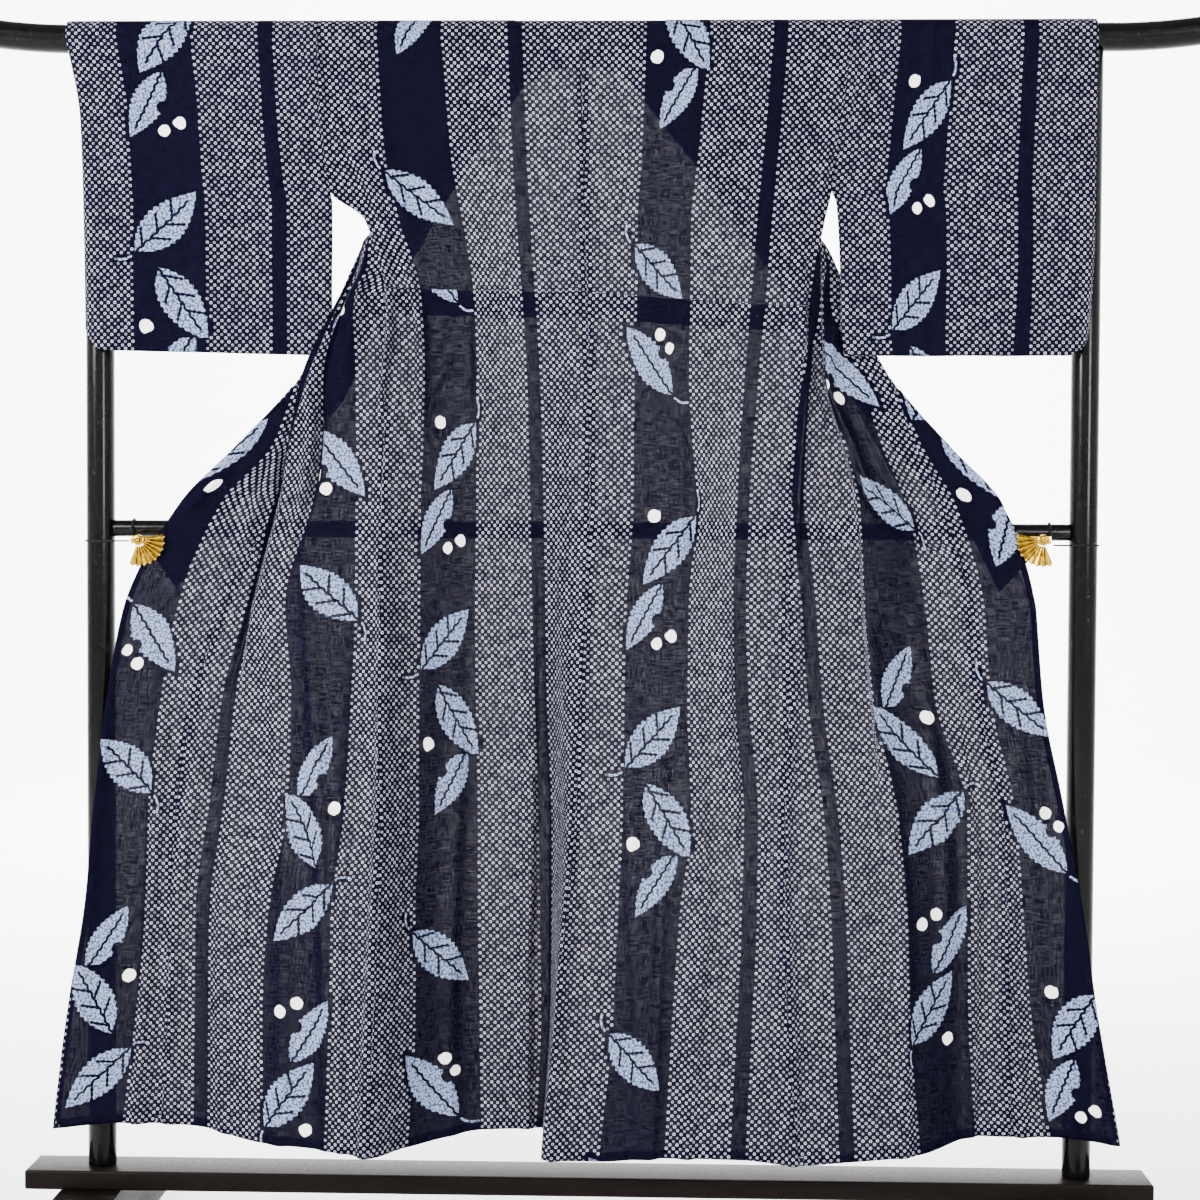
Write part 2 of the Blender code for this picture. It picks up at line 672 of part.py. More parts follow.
def jaw(side, gold):
    """The spring clip behind the fan: a block beside the cloth's corner and a tongue behind it."""
    x, z, _, _ = FANS[side]
    inward = 1 if side == "left" else -1
    middle = corner_y(side)
    outline = (
        (JAW_BLOCK[0], middle - JAW_FRONT),
        (JAW_BLOCK[1], middle - JAW_FRONT),
        (JAW_BLOCK[1], middle + TONGUE_BACK),
        (TONGUE, middle + TONGUE_BACK),
        (TONGUE, middle + JAW_BACK),
        (JAW_BLOCK[0], middle + JAW_BACK),
    )
    shape = bmesh.new()
    ends = [
        [shape.verts.new((x + inward * px, py, z + level)) for px, py in outline]
        for level in (-JAW_HALF, JAW_HALF)
    ]
    shape.faces.new(ends[0])
    shape.faces.new(ends[1])
    for i in range(len(outline)):
        j = (i + 1) % len(outline)
        shape.faces.new((ends[0][i], ends[0][j], ends[1][j], ends[1][i]))
    from_bmesh("clip_jaw_" + side, shape, gold)


def loop_round(bar, tip):
    """2D points of a loop drawn tight round a bar at the origin of radius bar, and out to the point tip."""
    towards = math.atan2(tip[1], tip[0])
    open_angle = math.acos(bar / math.hypot(*tip))
    spots = []
    for i in range(LOOP_STEPS + 1):
        angle = towards + open_angle + (2 * math.pi - 2 * open_angle) * i / LOOP_STEPS
        spots.append(np.array((bar * math.cos(angle), bar * math.sin(angle))))
    apart = ELASTIC_PINCH * np.array((-math.sin(towards), math.cos(towards)))
    out, back = tip - apart, tip + apart
    return spots + [(spots[-1] + out) / 2, out, back, (back + spots[0]) / 2]


def elastics(side, black):
    """Two loops of thin elastic from the clip: one round the post, one up over the crossbar."""
    x, _, _, _ = FANS[side]
    sign = -1 if side == "left" else 1
    post = sign * POST_X
    outer = x + sign * (-JAW_BLOCK[0] + NEST + ELASTIC_R)
    back = corner_y(side) + ELASTIC_BACK
    low = CROSSBAR_Z - CROSSBAR_R - ELASTIC_R - POST_LOOP_BELOW
    tip = np.array((outer + sign * POST_LOOP_OUT - post, back))
    spots = [(post + a, b, low) for a, b in loop_round(POST_R + ELASTIC_R + NEST, tip)]
    tube("elastic_post_" + side, spots, ELASTIC_R, 1, black, closed=True)
    tip = np.array((back, -ELASTIC_DROP))
    spots = [(outer, b, CROSSBAR_Z + c) for b, c in loop_round(CROSSBAR_R + ELASTIC_R + NEST, tip)]
    tube("elastic_bar_" + side, spots, ELASTIC_R, 1, black, closed=True)


for old in list(bpy.data.objects):
    bpy.data.objects.remove(old, do_unlink=True)

COTTON = material("indigo cotton", (0.02, 0.02, 0.06), 0.85)
LACQUER = material("black lacquer", (0.006, 0.006, 0.007), 0.15)
GOLD = material("gilt brass", (0.72, 0.47, 0.12), 0.25, 1.0)
ELASTIC = material("black elastic", (0.01, 0.01, 0.012), 0.7)

stand(LACQUER)
body_panels(COTTON)
for SIDE in ("left", "right"):
    sleeve(SIDE, COTTON)
    collar(SIDE, COTTON)
    waist_tuck(SIDE, COTTON)
    fan(SIDE, GOLD)
    jaw(SIDE, GOLD)
    elastics(SIDE, ELASTIC)
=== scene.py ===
"""A cotton yukata spread on a black kimono stand, back outwards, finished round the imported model.

Metres, +Z up: X runs along the rail, the robe's back faces -Y, and the origin is on the floor under it.
"""

import math

import bmesh
import bpy
import numpy as np
from mathutils import Matrix, Vector


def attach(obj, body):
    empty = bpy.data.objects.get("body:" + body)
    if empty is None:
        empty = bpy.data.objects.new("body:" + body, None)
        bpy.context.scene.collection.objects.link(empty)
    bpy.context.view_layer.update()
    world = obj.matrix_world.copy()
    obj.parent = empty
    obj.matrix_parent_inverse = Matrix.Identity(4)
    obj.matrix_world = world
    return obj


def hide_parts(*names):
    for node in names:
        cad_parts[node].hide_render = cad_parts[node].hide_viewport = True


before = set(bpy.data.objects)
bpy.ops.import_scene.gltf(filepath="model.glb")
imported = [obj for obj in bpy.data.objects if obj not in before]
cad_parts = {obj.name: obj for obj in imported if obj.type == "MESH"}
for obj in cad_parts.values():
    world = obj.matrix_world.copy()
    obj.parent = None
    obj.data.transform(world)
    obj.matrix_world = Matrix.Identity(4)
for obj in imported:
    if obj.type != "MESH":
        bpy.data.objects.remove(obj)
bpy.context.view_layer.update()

# ------------------------------------------------------------------------------------------------ the setting
# A pale paper floor that curves up all round like a shallow bowl, soft lamps in front, a wide one on the wall
# behind, and a camera square on to the robe's back, a little to the right of its middle.

CAMERA_AT = (0.088, -2.615, 0.906)
CAMERA_YAW, CAMERA_DOWN, CAMERA_ROLL = -1.605, 1.763, 0.274  # degrees
CAMERA_LENS, SENSOR = 61.0, 36.0  # millimetres
FLOOR_R, COVE_R, WALL_TOP = 5.5, 3.0, 7.0
COVE_ANGLES = range(5, 91, 5)
SKY = 0.8
LAMPS = (
    # name, place, size, watts, aim
    ("front lamp", (-3.2, -3.4, 2.6), 1.4, 540, (0, 0, 0.9)),
    ("fill lamp", (2.6, -3.9, 1.6), 1.0, 150, (0, 0, 0.9)),
    ("back lamp", (0.0, 3.1, 4.6), 3.0, 2700, (0, 6.6, 0.6)),
)


def linear(code):
    """An sRGB hex colour as linear RGBA."""
    parts = [int(code[i : i + 2], 16) / 255 for i in (1, 3, 5)]
    return tuple(c / 12.92 if c <= 0.04045 else ((c + 0.055) / 1.055) ** 2.4 for c in parts) + (1.0,)


def node(tree, kind, inputs=(), outputs=0, **settings):
    """Adds a shader node with its settings. Its inputs are a list in its own order, or {socket: value}, and a
    value may be what another node gives. It returns the output, or the list of outputs, that is asked for."""
    made = tree.nodes.new("ShaderNode" + kind)
    for key, value in settings.items():
        setattr(made, key, value)
    for socket, value in inputs.items() if isinstance(inputs, dict) else enumerate(inputs):
        if isinstance(value, bpy.types.NodeSocket):
            tree.links.new(value, made.inputs[socket])
        else:
            made.inputs[socket].default_value = value
    if isinstance(outputs, list):
        return [made.outputs[each] for each in outputs]
    return made.outputs[outputs] if made.outputs else None


def new_material(name):
    made = bpy.data.materials.new(name)
    made.use_nodes = True
    made.node_tree.nodes.clear()
    return made, made.node_tree


def add_piece(name, shape, material):
    """A bmesh as a smooth-shaded object at the origin with one material."""
    mesh = bpy.data.meshes.new(name)
    shape.to_mesh(mesh)
    shape.free()
    mesh.shade_smooth()
    mesh.materials.append(material)
    obj = bpy.data.objects.new(name, mesh)
    bpy.context.scene.collection.objects.link(obj)
    return obj


# Seamless backdrop paper: matt, with a grain of about a millimetre.
paper, tree = new_material("matt backdrop paper")
place = node(tree, "TexCoord", outputs="Object")
fleck = node(tree, "TexNoise", {"Vector": place, "Scale": 900.0})
relief = node(tree, "Bump", {"Height": fleck, "Strength": 0.1, "Distance": 0.001})
matt = {"Base Color": linear("#f8f8f7"), "Roughness": 0.9, "Normal": relief}
node(tree, "OutputMaterial", {"Surface": node(tree, "BsdfPrincipled", matt)})

shape = bmesh.new()
profile = [(0.0, 0.0), (FLOOR_R, 0.0)]
for angle in COVE_ANGLES:
    turn = math.radians(angle)
    profile.append((FLOOR_R + COVE_R * math.sin(turn), COVE_R - COVE_R * math.cos(turn)))
profile.append((FLOOR_R + COVE_R, WALL_TOP))
line = [shape.verts.new((x, 0, z)) for x, z in profile]
run = [shape.edges.new(pair) for pair in zip(line, line[1:])]
bmesh.ops.spin(
    shape, geom=line + run, cent=(0, 0, 0), axis=(0, 0, 1), angle=math.tau, steps=96, use_merge=True
)
bmesh.ops.remove_doubles(shape, verts=shape.verts, dist=1e-5)
bmesh.ops.recalc_face_normals(shape, faces=shape.faces)
bmesh.ops.reverse_faces(shape, faces=shape.faces)
add_piece("backdrop", shape, paper)

world = bpy.data.worlds.new("studio")
bpy.context.scene.world = world
world.use_nodes = True
tree = world.node_tree
tree.nodes.clear()
background = node(tree, "Background", {"Color": linear("#ffffff"), "Strength": SKY})
node(tree, "OutputWorld", {"Surface": background})

for name, place, size, power, aim in LAMPS:
    lamp = bpy.data.lights.new(name, "AREA")
    lamp.shape = "SQUARE"
    lamp.size = size
    lamp.energy = power
    holder = bpy.data.objects.new(name, lamp)
    holder.location = place
    holder.rotation_euler = (Vector(aim) - Vector(place)).to_track_quat("-Z", "Y").to_euler()
    bpy.context.scene.collection.objects.link(holder)

camera = bpy.data.cameras.new("camera")
camera.sensor_width = SENSOR
camera.lens = CAMERA_LENS
eye = bpy.data.objects.new("camera", camera)
yaw, down, roll = (math.radians(a) for a in (CAMERA_YAW, CAMERA_DOWN, CAMERA_ROLL))
forward = Vector((math.sin(yaw) * math.cos(down), math.cos(yaw) * math.cos(down), -math.sin(down)))
level = Vector((math.cos(yaw), -math.sin(yaw), 0))
upright = level.cross(forward)
across = level * math.cos(roll) + upright * math.sin(roll)
upright = upright * math.cos(roll) - level * math.sin(roll)
turn = Matrix((across, upright, -forward)).transposed()
eye.matrix_world = Matrix.Translation(CAMERA_AT) @ turn.to_4x4()
bpy.context.scene.collection.objects.link(eye)
bpy.context.scene.camera = eye

# -------------------------------------------------------------------------------------------------- the stand
# Turned and planed hardwood under black lacquer: a top rail with upswept ends, two posts, a thinner
# crossbar, and a flat base beam on two arched runners. Each is a finer copy of its solid, let into the next.

RAIL_Z, RAIL_R, RAIL_HALF = 1.543, 0.018, 0.80
UPSWEEP_FROM, UPSWEEP, UPSWEEP_STEPS = 0.66, 0.012, 14
POST_X, POST_R = 0.632, 0.018
CROSSBAR_Z, CROSSBAR_R = 0.915, 0.0108
POST_RIM, CROSSBAR_RIM, RAIL_RIM = 0.0015, 0.0006, 0.003
BEAM_HALF, BEAM_DEPTH, BEAM_TOP, BEAM_THICK, BEAM_EDGE = 0.725, 0.068, 0.085, 0.025, 0.003
FOOT_X, FOOT_HALF, FOOT_TOP_W, FOOT_FLARE, FOOT_TOE = 0.640, 0.20, 0.078, 0.016, 0.020
FOOT_REST, FOOT_EDGE, FOOT_STEPS = 0.008, 0.002, 24  # its flat top reaches this far out of the beam
NEST = 0.0003  # left between two pieces that touch
SHARP = math.radians(35)


def lacquer(name, colour, dusty, roughness, ripple, shine):
    """Lacquer rubbed down and polished by hand: gloss over waves 26 mm long, with a breath of dust."""
    made, tree = new_material(name)
    place = node(tree, "TexCoord", outputs="Object")
    waves = node(tree, "TexNoise", {"Vector": place, "Scale": 38.0, "Detail": 3.0})
    dust = node(tree, "TexNoise", {"Vector": place, "Scale": 210.0, "Detail": 5.0})
    dusted = node(tree, "MapRange", [dust, 0.45, 0.8], interpolation_type="SMOOTHSTEP")
    tone = {0: dusted, 6: linear(colour), 7: linear(dusty)}
    dull = [dust, 0.35, 0.75, roughness, roughness + 0.12]
    coat = {
        "Base Color": node(tree, "Mix", tone, 2, data_type="RGBA"),
        "Roughness": node(tree, "MapRange", dull, interpolation_type="SMOOTHSTEP"),
        "Normal": node(tree, "Bump", {"Height": waves, "Strength": ripple, "Distance": 0.0006}),
        "Specular IOR Level": shine,
    }
    node(tree, "OutputMaterial", {"Surface": node(tree, "BsdfPrincipled", coat)})
    return made


# The bars are polished to a wet gloss. The base is left satin, so its wood shows as a trace of brown.
gloss = lacquer("black gloss lacquer", "#050505", "#0c0b0b", 0.12, 0.2, 0.10)
satin = lacquer("black satin lacquer", "#0e0a09", "#120e0d", 0.34, 0.12, 0.03)


def carried(piece, slot, *replaced):
    """Fixes a piece to the body; it stands for the solids named, or adds to them."""
    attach(piece, "root")
    if replaced:
        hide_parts(*replaced)
    return piece


def softened(shape, edges, width, segments):
    """Rounds off edges as sanding does."""
    bmesh.ops.bevel(
        shape, geom=edges, offset=width, segments=segments, profile=0.5, affect="EDGES", material=-1
    )


def drawn_out(shape, outline, way):
    """A flat outline of points drawn out into a block."""
    face = shape.faces.new([shape.verts.new(spot) for spot in outline])
    made = bmesh.ops.extrude_face_region(shape, geom=[face])["geom"]
    far = [vert for vert in made if isinstance(vert, bmesh.types.BMVert)]
    bmesh.ops.translate(shape, vec=way, verts=far)


def round_bar(name, centres, radius, rim, material):
    """A turned bar along the centres, whose ends have a softened rim."""
    centres = [Vector(c) for c in centres]
    shape = bmesh.new()
    first = bmesh.ops.create_circle(shape, segments=64, radius=radius, cap_ends=True)["verts"]
    way = (centres[-1] - centres[0]).normalized()
    lean = Vector((0, 0, 1)).rotation_difference(way).to_matrix()
    bmesh.ops.rotate(shape, verts=first, matrix=lean)
    bmesh.ops.translate(shape, verts=first, vec=centres[0])
    start = ring = list(shape.edges)
    for here, there in zip(centres, centres[1:]):
        made = bmesh.ops.extrude_edge_only(shape, edges=ring)["geom"]
        moved = {v for v in made if isinstance(v, bmesh.types.BMVert)}
        bmesh.ops.translate(shape, verts=list(moved), vec=there - here)
        ring = [e for e in made if isinstance(e, bmesh.types.BMEdge) and set(e.verts) <= moved]
    bmesh.ops.contextual_create(shape, geom=ring)
    softened(shape, start + ring, rim, 4)
    bmesh.ops.recalc_face_normals(shape, faces=shape.faces)
    return add_piece(name, shape, material)


for side, sign in (("left", -1), ("right", 1)):
    # The post's head is hollowed to seat the rail, and this stops at the bottom of that seat.
    ends = [(sign * POST_X, 0, BEAM_TOP + NEST), (sign * POST_X, 0, RAIL_Z - RAIL_R - NEST)]
    carried(round_bar(f"post_{side}_turned", ends, POST_R, POST_RIM, gloss), "lacquer", f"post_{side}")
reach = POST_X - POST_R - NEST
ends = [(-reach, 0, CROSSBAR_Z), (reach, 0, CROSSBAR_Z)]
carried(round_bar("crossbar_turned", ends, CROSSBAR_R, CROSSBAR_RIM, gloss), "lacquer", "crossbar")

steps = [i / UPSWEEP_STEPS for i in range(UPSWEEP_STEPS + 1)]
rise = [(UPSWEEP_FROM + (RAIL_HALF - UPSWEEP_FROM) * t, 0, RAIL_Z + UPSWEEP * t * t) for t in steps]
centres = [(-x, y, z) for x, y, z in reversed(rise)] + rise
carried(round_bar("top_rail_turned", centres, RAIL_R, RAIL_RIM, gloss), "lacquer", "top_rail")

shape = bmesh.new()
bmesh.ops.create_cube(shape, size=1)
bmesh.ops.scale(shape, vec=(2 * BEAM_HALF, BEAM_DEPTH, BEAM_THICK), verts=shape.verts)
softened(shape, list(shape.edges), BEAM_EDGE, 4)
bmesh.ops.translate(shape, verts=shape.verts, vec=(0, 0, BEAM_TOP - BEAM_THICK / 2))
beam = carried(add_piece("base_beam_planed", shape, satin), "beam_lacquer", "base_beam")
beam.data.set_sharp_from_angle(angle=SHARP)

for side, sign in (("left", -1), ("right", 1)):
    top = BEAM_TOP - BEAM_THICK - NEST
    flat = BEAM_DEPTH / 2 + FOOT_REST
    half = []
    for i in range(FOOT_STEPS + 1):
        t = i / FOOT_STEPS
        rise = (top - FOOT_TOE) * math.sin(math.pi / 2 * t)
        half.append((FOOT_HALF - (FOOT_HALF - flat) * t, FOOT_TOE + rise))
    outline = [(-FOOT_HALF, 0), (FOOT_HALF, 0), *half, *((-y, z) for y, z in reversed(half))]
    shape = bmesh.new()
    near_x = sign * FOOT_X - FOOT_TOP_W / 2
    drawn_out(shape, [(near_x, y, z) for y, z in outline], (FOOT_TOP_W, 0, 0))
    for vert in shape.verts:
        flare = FOOT_FLARE * (1 - vert.co.z / top)
        vert.co.x += math.copysign(flare, vert.co.x - sign * FOOT_X)
    bmesh.ops.recalc_face_normals(shape, faces=shape.faces)
    softened(shape, [edge for edge in shape.edges if edge.calc_face_angle(0) > 0.5], FOOT_EDGE, 3)
    runner = carried(add_piece(f"foot_{side}_planed", shape, satin), "beam_lacquer", f"foot_{side}")
    runner.data.set_sharp_from_angle(angle=SHARP)

# ------------------------------------------------------------------------------------------------- the cotton
# Indigo-dyed cotton voile. Rows of small tied dots fill three stripes of each width of cloth, and leaves with
# a few larger dots fill a fourth. The UV map "cloth" holds metres across and along the bolt, and the cloth is
# thin enough for light to come through one layer of it, and hardly through two.

DOT_PITCH = 0.0090  # centred squares: a dot at each corner and one in the middle
DOT_R, DOT_HOLE_R = 0.00163, 0.00084
DOT_SOFT, DOT_STRAY = 0.0003, 0.0008  # its blurred edge, and how far it strays
DOT_RANGE = 0.26  # by which share sizes vary
LEAF_STRIPE, PLAIN_STRIPE = (0.0770, 0.1660), (0.2490, 0.2670)  # across the bolt, without dots
STRIPE_MID = sum(LEAF_STRIPE) / 2
LEAF_REACH = 0.036  # how far leaves and tendrils come out of their stripe
REPEAT, REPEAT_FROM = 1.040, -0.115  # along the bolt; no motif crosses the line where a repeat starts
LEAVES = (
    # across from the stripe's middle and along in mm, angle from stem to tip, length and width in mm, and on
    # which side a bite is out of it and to which side a tendril curls
    (-9, 0, 41, 104, 52, 0, -1),
    (-20, 164, 230, 112, 49, 1, 1),
    (9, 402, 126, 108, 51, 0, 1),
    (-19, 486, 119, 95, 40, -1, 0),
    (-4, 636, -46, 106, 52, 0, -1),
    (15, 740, 57, 112, 50, 0, -1),
    (5, 818, 120, 94, 41, 1, 0),
)
PLAIN_DOTS = (
    # across, along and radius in mm
    (-6, 977, 6.8),
    (11, 963, 7.8),
    (16, 984, 8.4),
    (-3, 131, 7.8),
    (11, 148, 7.0),
    (-15, 360, 8.2),
    (0, 520, 7.4),
    (19, 510, 7.9),
    (-28, 768, 8.3),
)
LEAF_LEAN, LEAF_POINT = 0.88, 0.9  # powers that move the widest place to the stem and sharpen the ends
LEAF_TEETH, TOOTH_DEPTH = 13.0, 0.26
BITE_OFF, BITE_ALONG, BITE_R = 0.95, 0.44, 0.0080
RIB_STEPS, RIB_STEP, RIB_HALF = 9.0, 0.0044, (0.0013, 0.0021)  # the second of each pair is where it has faded
RIB_END = (0.85, 0.89)
SIDE_VEINS, VEIN_LEAN, VEIN_STAGGER, VEIN_STEP = 4.2, 0.21, 0.11, 0.03
VEIN_HALF, VEIN_END, VEINED = (0.065, 0.115), (0.68, 0.76), (0.03, 0.74)
TENDRIL_R, TENDRIL_FROM, TENDRIL_GAP, TENDRIL_REACH = 0.021, 0.0040, 0.0055, 0.65
CLEAR_OF_LEAF, CLEAR_OF_TENDRIL = 0.0050, 0.0046
SLUBS = ((900, 55, 1), (55, 900, 1), (85, 45, 1))  # in each metre: of warp, of weft, and of crinkles
KNOTS = 330.0  # tied beads in each metre
LEAF_RAGGED, LEAF_BLUR = 0.0030, (-0.0002, 0.0006)  # how far a leaf's edge strays and how softly it ends
LARGE_RAGGED, LARGE_BLUR = 0.0050, (-0.0004, 0.0005)  # and the same for a large dot
TENDRIL_BLUR = (0.0010, 0.0018)
RING_RELIEF, WEAVE_RELIEF = 0.3, 0.4  # as shares of the crinkles' height
SHEER = (0.016, 0.095)  # the least and the most light that one layer lets through
SHEER_WHITE = 0.1  # and the share of it that undyed cloth lets through


def leaf_group():
    """Node group: metres across and along the bolt in; out come how far inside a leaf the place is, that
    leaf's dark veins, and the distances from a tendril's line and from the rim of a large dot, in metres."""
    group = bpy.data.node_groups.new("leaf sprigs", "ShaderNodeTree")
    for socket in ("across", "along"):
        group.interface.new_socket(socket, in_out="INPUT", socket_type="NodeSocketFloat")
    for socket in ("inside", "vein", "tendril", "large dot"):
        group.interface.new_socket(socket, in_out="OUTPUT", socket_type="NodeSocketFloat")
    entry = group.nodes.new("NodeGroupInput")
    u = node(group, "Math", [entry.outputs[0], STRIPE_MID], operation="SUBTRACT")
    v = node(group, "Math", [entry.outputs[1], REPEAT + REPEAT_FROM, REPEAT_FROM], operation="WRAP")
    share = node(group, "MapRange", [v, REPEAT_FROM, REPEAT_FROM + REPEAT])
    # The eight values of the leaf that this place belongs to, which change midway between two leaves.
    starts = [0.0]
    for one, two in zip(LEAVES, LEAVES[1:]):
        starts.append(((one[1] + two[1]) / 2000 - REPEAT_FROM) / REPEAT)
    column = list(zip(*LEAVES))
    turns = [math.radians(angle) for angle in column[2]]
    metres = [[x / 1000 for x in values] for values in column[:5]]
    placing = metres[0], metres[1], [math.cos(a) for a in turns], [math.sin(a) for a in turns]
    form = metres[3], [x / 2 for x in metres[4]], column[5], column[6]
    chosen = []
    for tables in (placing, form):
        colour, fourth = node(group, "ValToRGB", [share], [0, 1])
        ramp = colour.node.color_ramp
        ramp.interpolation = "CONSTANT"
        ramp.elements.remove(ramp.elements[1])
        spans = [(min(table), max(table) - min(table)) for table in tables]
        for number, (start, row) in enumerate(zip(starts, zip(*tables))):
            stop = ramp.elements.new(start) if number else ramp.elements[0]
            stop.color = [(value - low) / span for value, (low, span) in zip(row, spans)]
        parts = node(group, "SeparateColor", [colour], [0, 1, 2]) + [fourth]
        for part, (low, span) in zip(parts, spans):
            chosen.append(node(group, "Math", [part, span, low], operation="MULTIPLY_ADD"))
    centre_u, centre_v, cos, sin, length, half, notch, curl = chosen
    du = node(group, "Math", [u, centre_u], operation="SUBTRACT")
    dv = node(group, "Math", [v, centre_v], operation="SUBTRACT")
    run = node(group, "Math", [du, cos], operation="MULTIPLY")
    run = node(group, "Math", [dv, sin, run], operation="MULTIPLY_ADD")
    off = node(group, "Math", [dv, cos], operation="MULTIPLY")
    down = node(group, "Math", [du, sin], operation="MULTIPLY")
    off = node(group, "Math", [off, down], operation="SUBTRACT")
    t = node(group, "Math", [run, length], operation="DIVIDE")
    t = node(group, "Math", [t, 0.5], operation="ADD")
    w = node(group, "Math", [off, half], operation="DIVIDE")
    side = node(group, "Math", [w], operation="ABSOLUTE")
    # A pointed oval with a saw-tooth edge.
    arch = node(group, "Math", [t, 0.0], operation="MAXIMUM")
    arch = node(group, "Math", [arch, 1.0], operation="MINIMUM")
    arch = node(group, "Math", [arch, LEAF_LEAN], operation="POWER")
    arch = node(group, "Math", [arch, math.pi], operation="MULTIPLY")
    arch = node(group, "Math", [arch], operation="SINE")
    arch = node(group, "Math", [arch, 0.0], operation="MAXIMUM")
    arch = node(group, "Math", [arch, LEAF_POINT], operation="POWER")
    teeth = node(group, "Math", [t, LEAF_TEETH], operation="MULTIPLY")
    teeth = node(group, "Math", [teeth, 0.5], operation="PINGPONG")
    teeth = node(group, "Math", [teeth, -TOOTH_DEPTH, 1.0], operation="MULTIPLY_ADD")
    inside = node(group, "Math", [arch, teeth], operation="MULTIPLY")
    inside = node(group, "Math", [inside, side], operation="SUBTRACT")
    inside = node(group, "Math", [inside, half], operation="MULTIPLY")
    ends = node(group, "Math", [t, 0.5], operation="SUBTRACT")
    ends = node(group, "Math", [ends], operation="ABSOLUTE")
    ends = node(group, "Math", [0.5, ends], operation="SUBTRACT")
    ends = node(group, "Math", [ends, length], operation="MULTIPLY")
    inside = node(group, "Math", [inside, ends], operation="MINIMUM")
    # Some have a bite out of one side.
    bite_x = node(group, "Math", [notch, -BITE_OFF, w], operation="MULTIPLY_ADD")
    bite_x = node(group, "Math", [bite_x, half], operation="MULTIPLY")
    bite_y = node(group, "Math", [t, BITE_ALONG], operation="SUBTRACT")
    bite_y = node(group, "Math", [bite_y, length], operation="MULTIPLY")
    bite = node(group, "CombineXYZ", [bite_x, bite_y])
    bite = node(group, "VectorMath", [bite], 1, operation="LENGTH")
    whole = node(group, "Math", [notch, 0.0, 0.5], operation="COMPARE")
    bite = node(group, "Math", [bite, BITE_R], operation="SUBTRACT")
    bite = node(group, "Math", [bite, whole], operation="ADD")
    inside = node(group, "Math", [inside, bite], operation="MINIMUM")
    # A midrib, and on the whole leaves slanting side veins, stepped as tied work is.
    step = node(group, "Math", [t, RIB_STEPS], operation="MULTIPLY")
    step = node(group, "Math", [step, 0.5], operation="PINGPONG")
    step = node(group, "Math", [step, 0.25], operation="SUBTRACT")
    midrib = node(group, "Math", [step, RIB_STEP, off], operation="MULTIPLY_ADD")
    midrib = node(group, "Math", [midrib], operation="ABSOLUTE")
    midrib = node(group, "MapRange", [midrib, *RIB_HALF, 1.0, 0.0], interpolation_type="SMOOTHSTEP")
    tip = node(group, "MapRange", [t, *RIB_END, 1.0, 0.0], interpolation_type="SMOOTHSTEP")
    midrib = node(group, "Math", [midrib, tip], operation="MULTIPLY")
    slant = node(group, "Math", [side, -VEIN_LEAN, t], operation="MULTIPLY_ADD")
    right = node(group, "Math", [w, 0.0], operation="GREATER_THAN")
    slant = node(group, "Math", [right, VEIN_STAGGER, slant], operation="MULTIPLY_ADD")
    stair = node(group, "Math", [side, 5.0], operation="MULTIPLY")
    stair = node(group, "Math", [stair, 0.5], operation="PINGPONG")
    stair = node(group, "Math", [stair, VEIN_STEP, slant], operation="MULTIPLY_ADD")
    line = node(group, "Math", [stair, SIDE_VEINS], operation="MULTIPLY")
    line = node(group, "Math", [line], operation="FRACT")
    line = node(group, "Math", [line, 0.5], operation="SUBTRACT")
    line = node(group, "Math", [line], operation="ABSOLUTE")
    line = node(group, "MapRange", [line, *VEIN_HALF, 1.0, 0.0], interpolation_type="SMOOTHSTEP")
    kept = node(group, "MapRange", [side, *VEIN_END, 1.0, 0.0], interpolation_type="SMOOTHSTEP")
    line = node(group, "Math", [line, kept], operation="MULTIPLY")
    middle, reach = sum(VEINED) / 2, (VEINED[1] - VEINED[0]) / 2
    kept = node(group, "Math", [slant, middle, reach], operation="COMPARE")
    line = node(group, "Math", [line, kept], operation="MULTIPLY")
    line = node(group, "Math", [line, whole], operation="MULTIPLY")
    vein = node(group, "Math", [midrib, line], operation="MAXIMUM")
    # A tendril leaves a little beyond the stem and curls to one side.
    beyond = node(group, "Math", [t, length], operation="MULTIPLY")
    beyond = node(group, "Math", [beyond, -1.0], operation="MULTIPLY")
    curl_x = node(group, "Math", [beyond, TENDRIL_FROM], operation="SUBTRACT")
    curl_y = node(group, "Math", [curl, -TENDRIL_R, off], operation="MULTIPLY_ADD")
    tendril = node(group, "CombineXYZ", [curl_x, curl_y])
    tendril = node(group, "VectorMath", [tendril], 1, operation="LENGTH")
    tendril = node(group, "Math", [tendril, TENDRIL_R], operation="SUBTRACT")
    tendril = node(group, "Math", [tendril], operation="ABSOLUTE")
    reached = node(group, "Math", [off, curl], operation="MULTIPLY")
    for absent in (
        node(group, "Math", [beyond, TENDRIL_GAP], operation="LESS_THAN"),
        node(group, "Math", [curl, 0.0, 0.5], operation="COMPARE"),
        node(group, "Math", [reached, TENDRIL_REACH * TENDRIL_R], operation="GREATER_THAN"),
    ):
        tendril = node(group, "Math", [tendril, absent], operation="ADD")
    rim = 1.0
    here = node(group, "CombineXYZ", [u, v])
    for x, y, radius in PLAIN_DOTS:
        apart = node(group, "VectorMath", [here, (x / 1000, y / 1000, 0)], 1, operation="DISTANCE")
        apart = node(group, "Math", [apart, radius / 1000], operation="SUBTRACT")
        rim = node(group, "Math", [apart, rim], operation="MINIMUM")
    leave = group.nodes.new("NodeGroupOutput")
    for number, value in enumerate((inside, vein, tendril, rim)):
        group.links.new(value, leave.inputs[number])
    return group


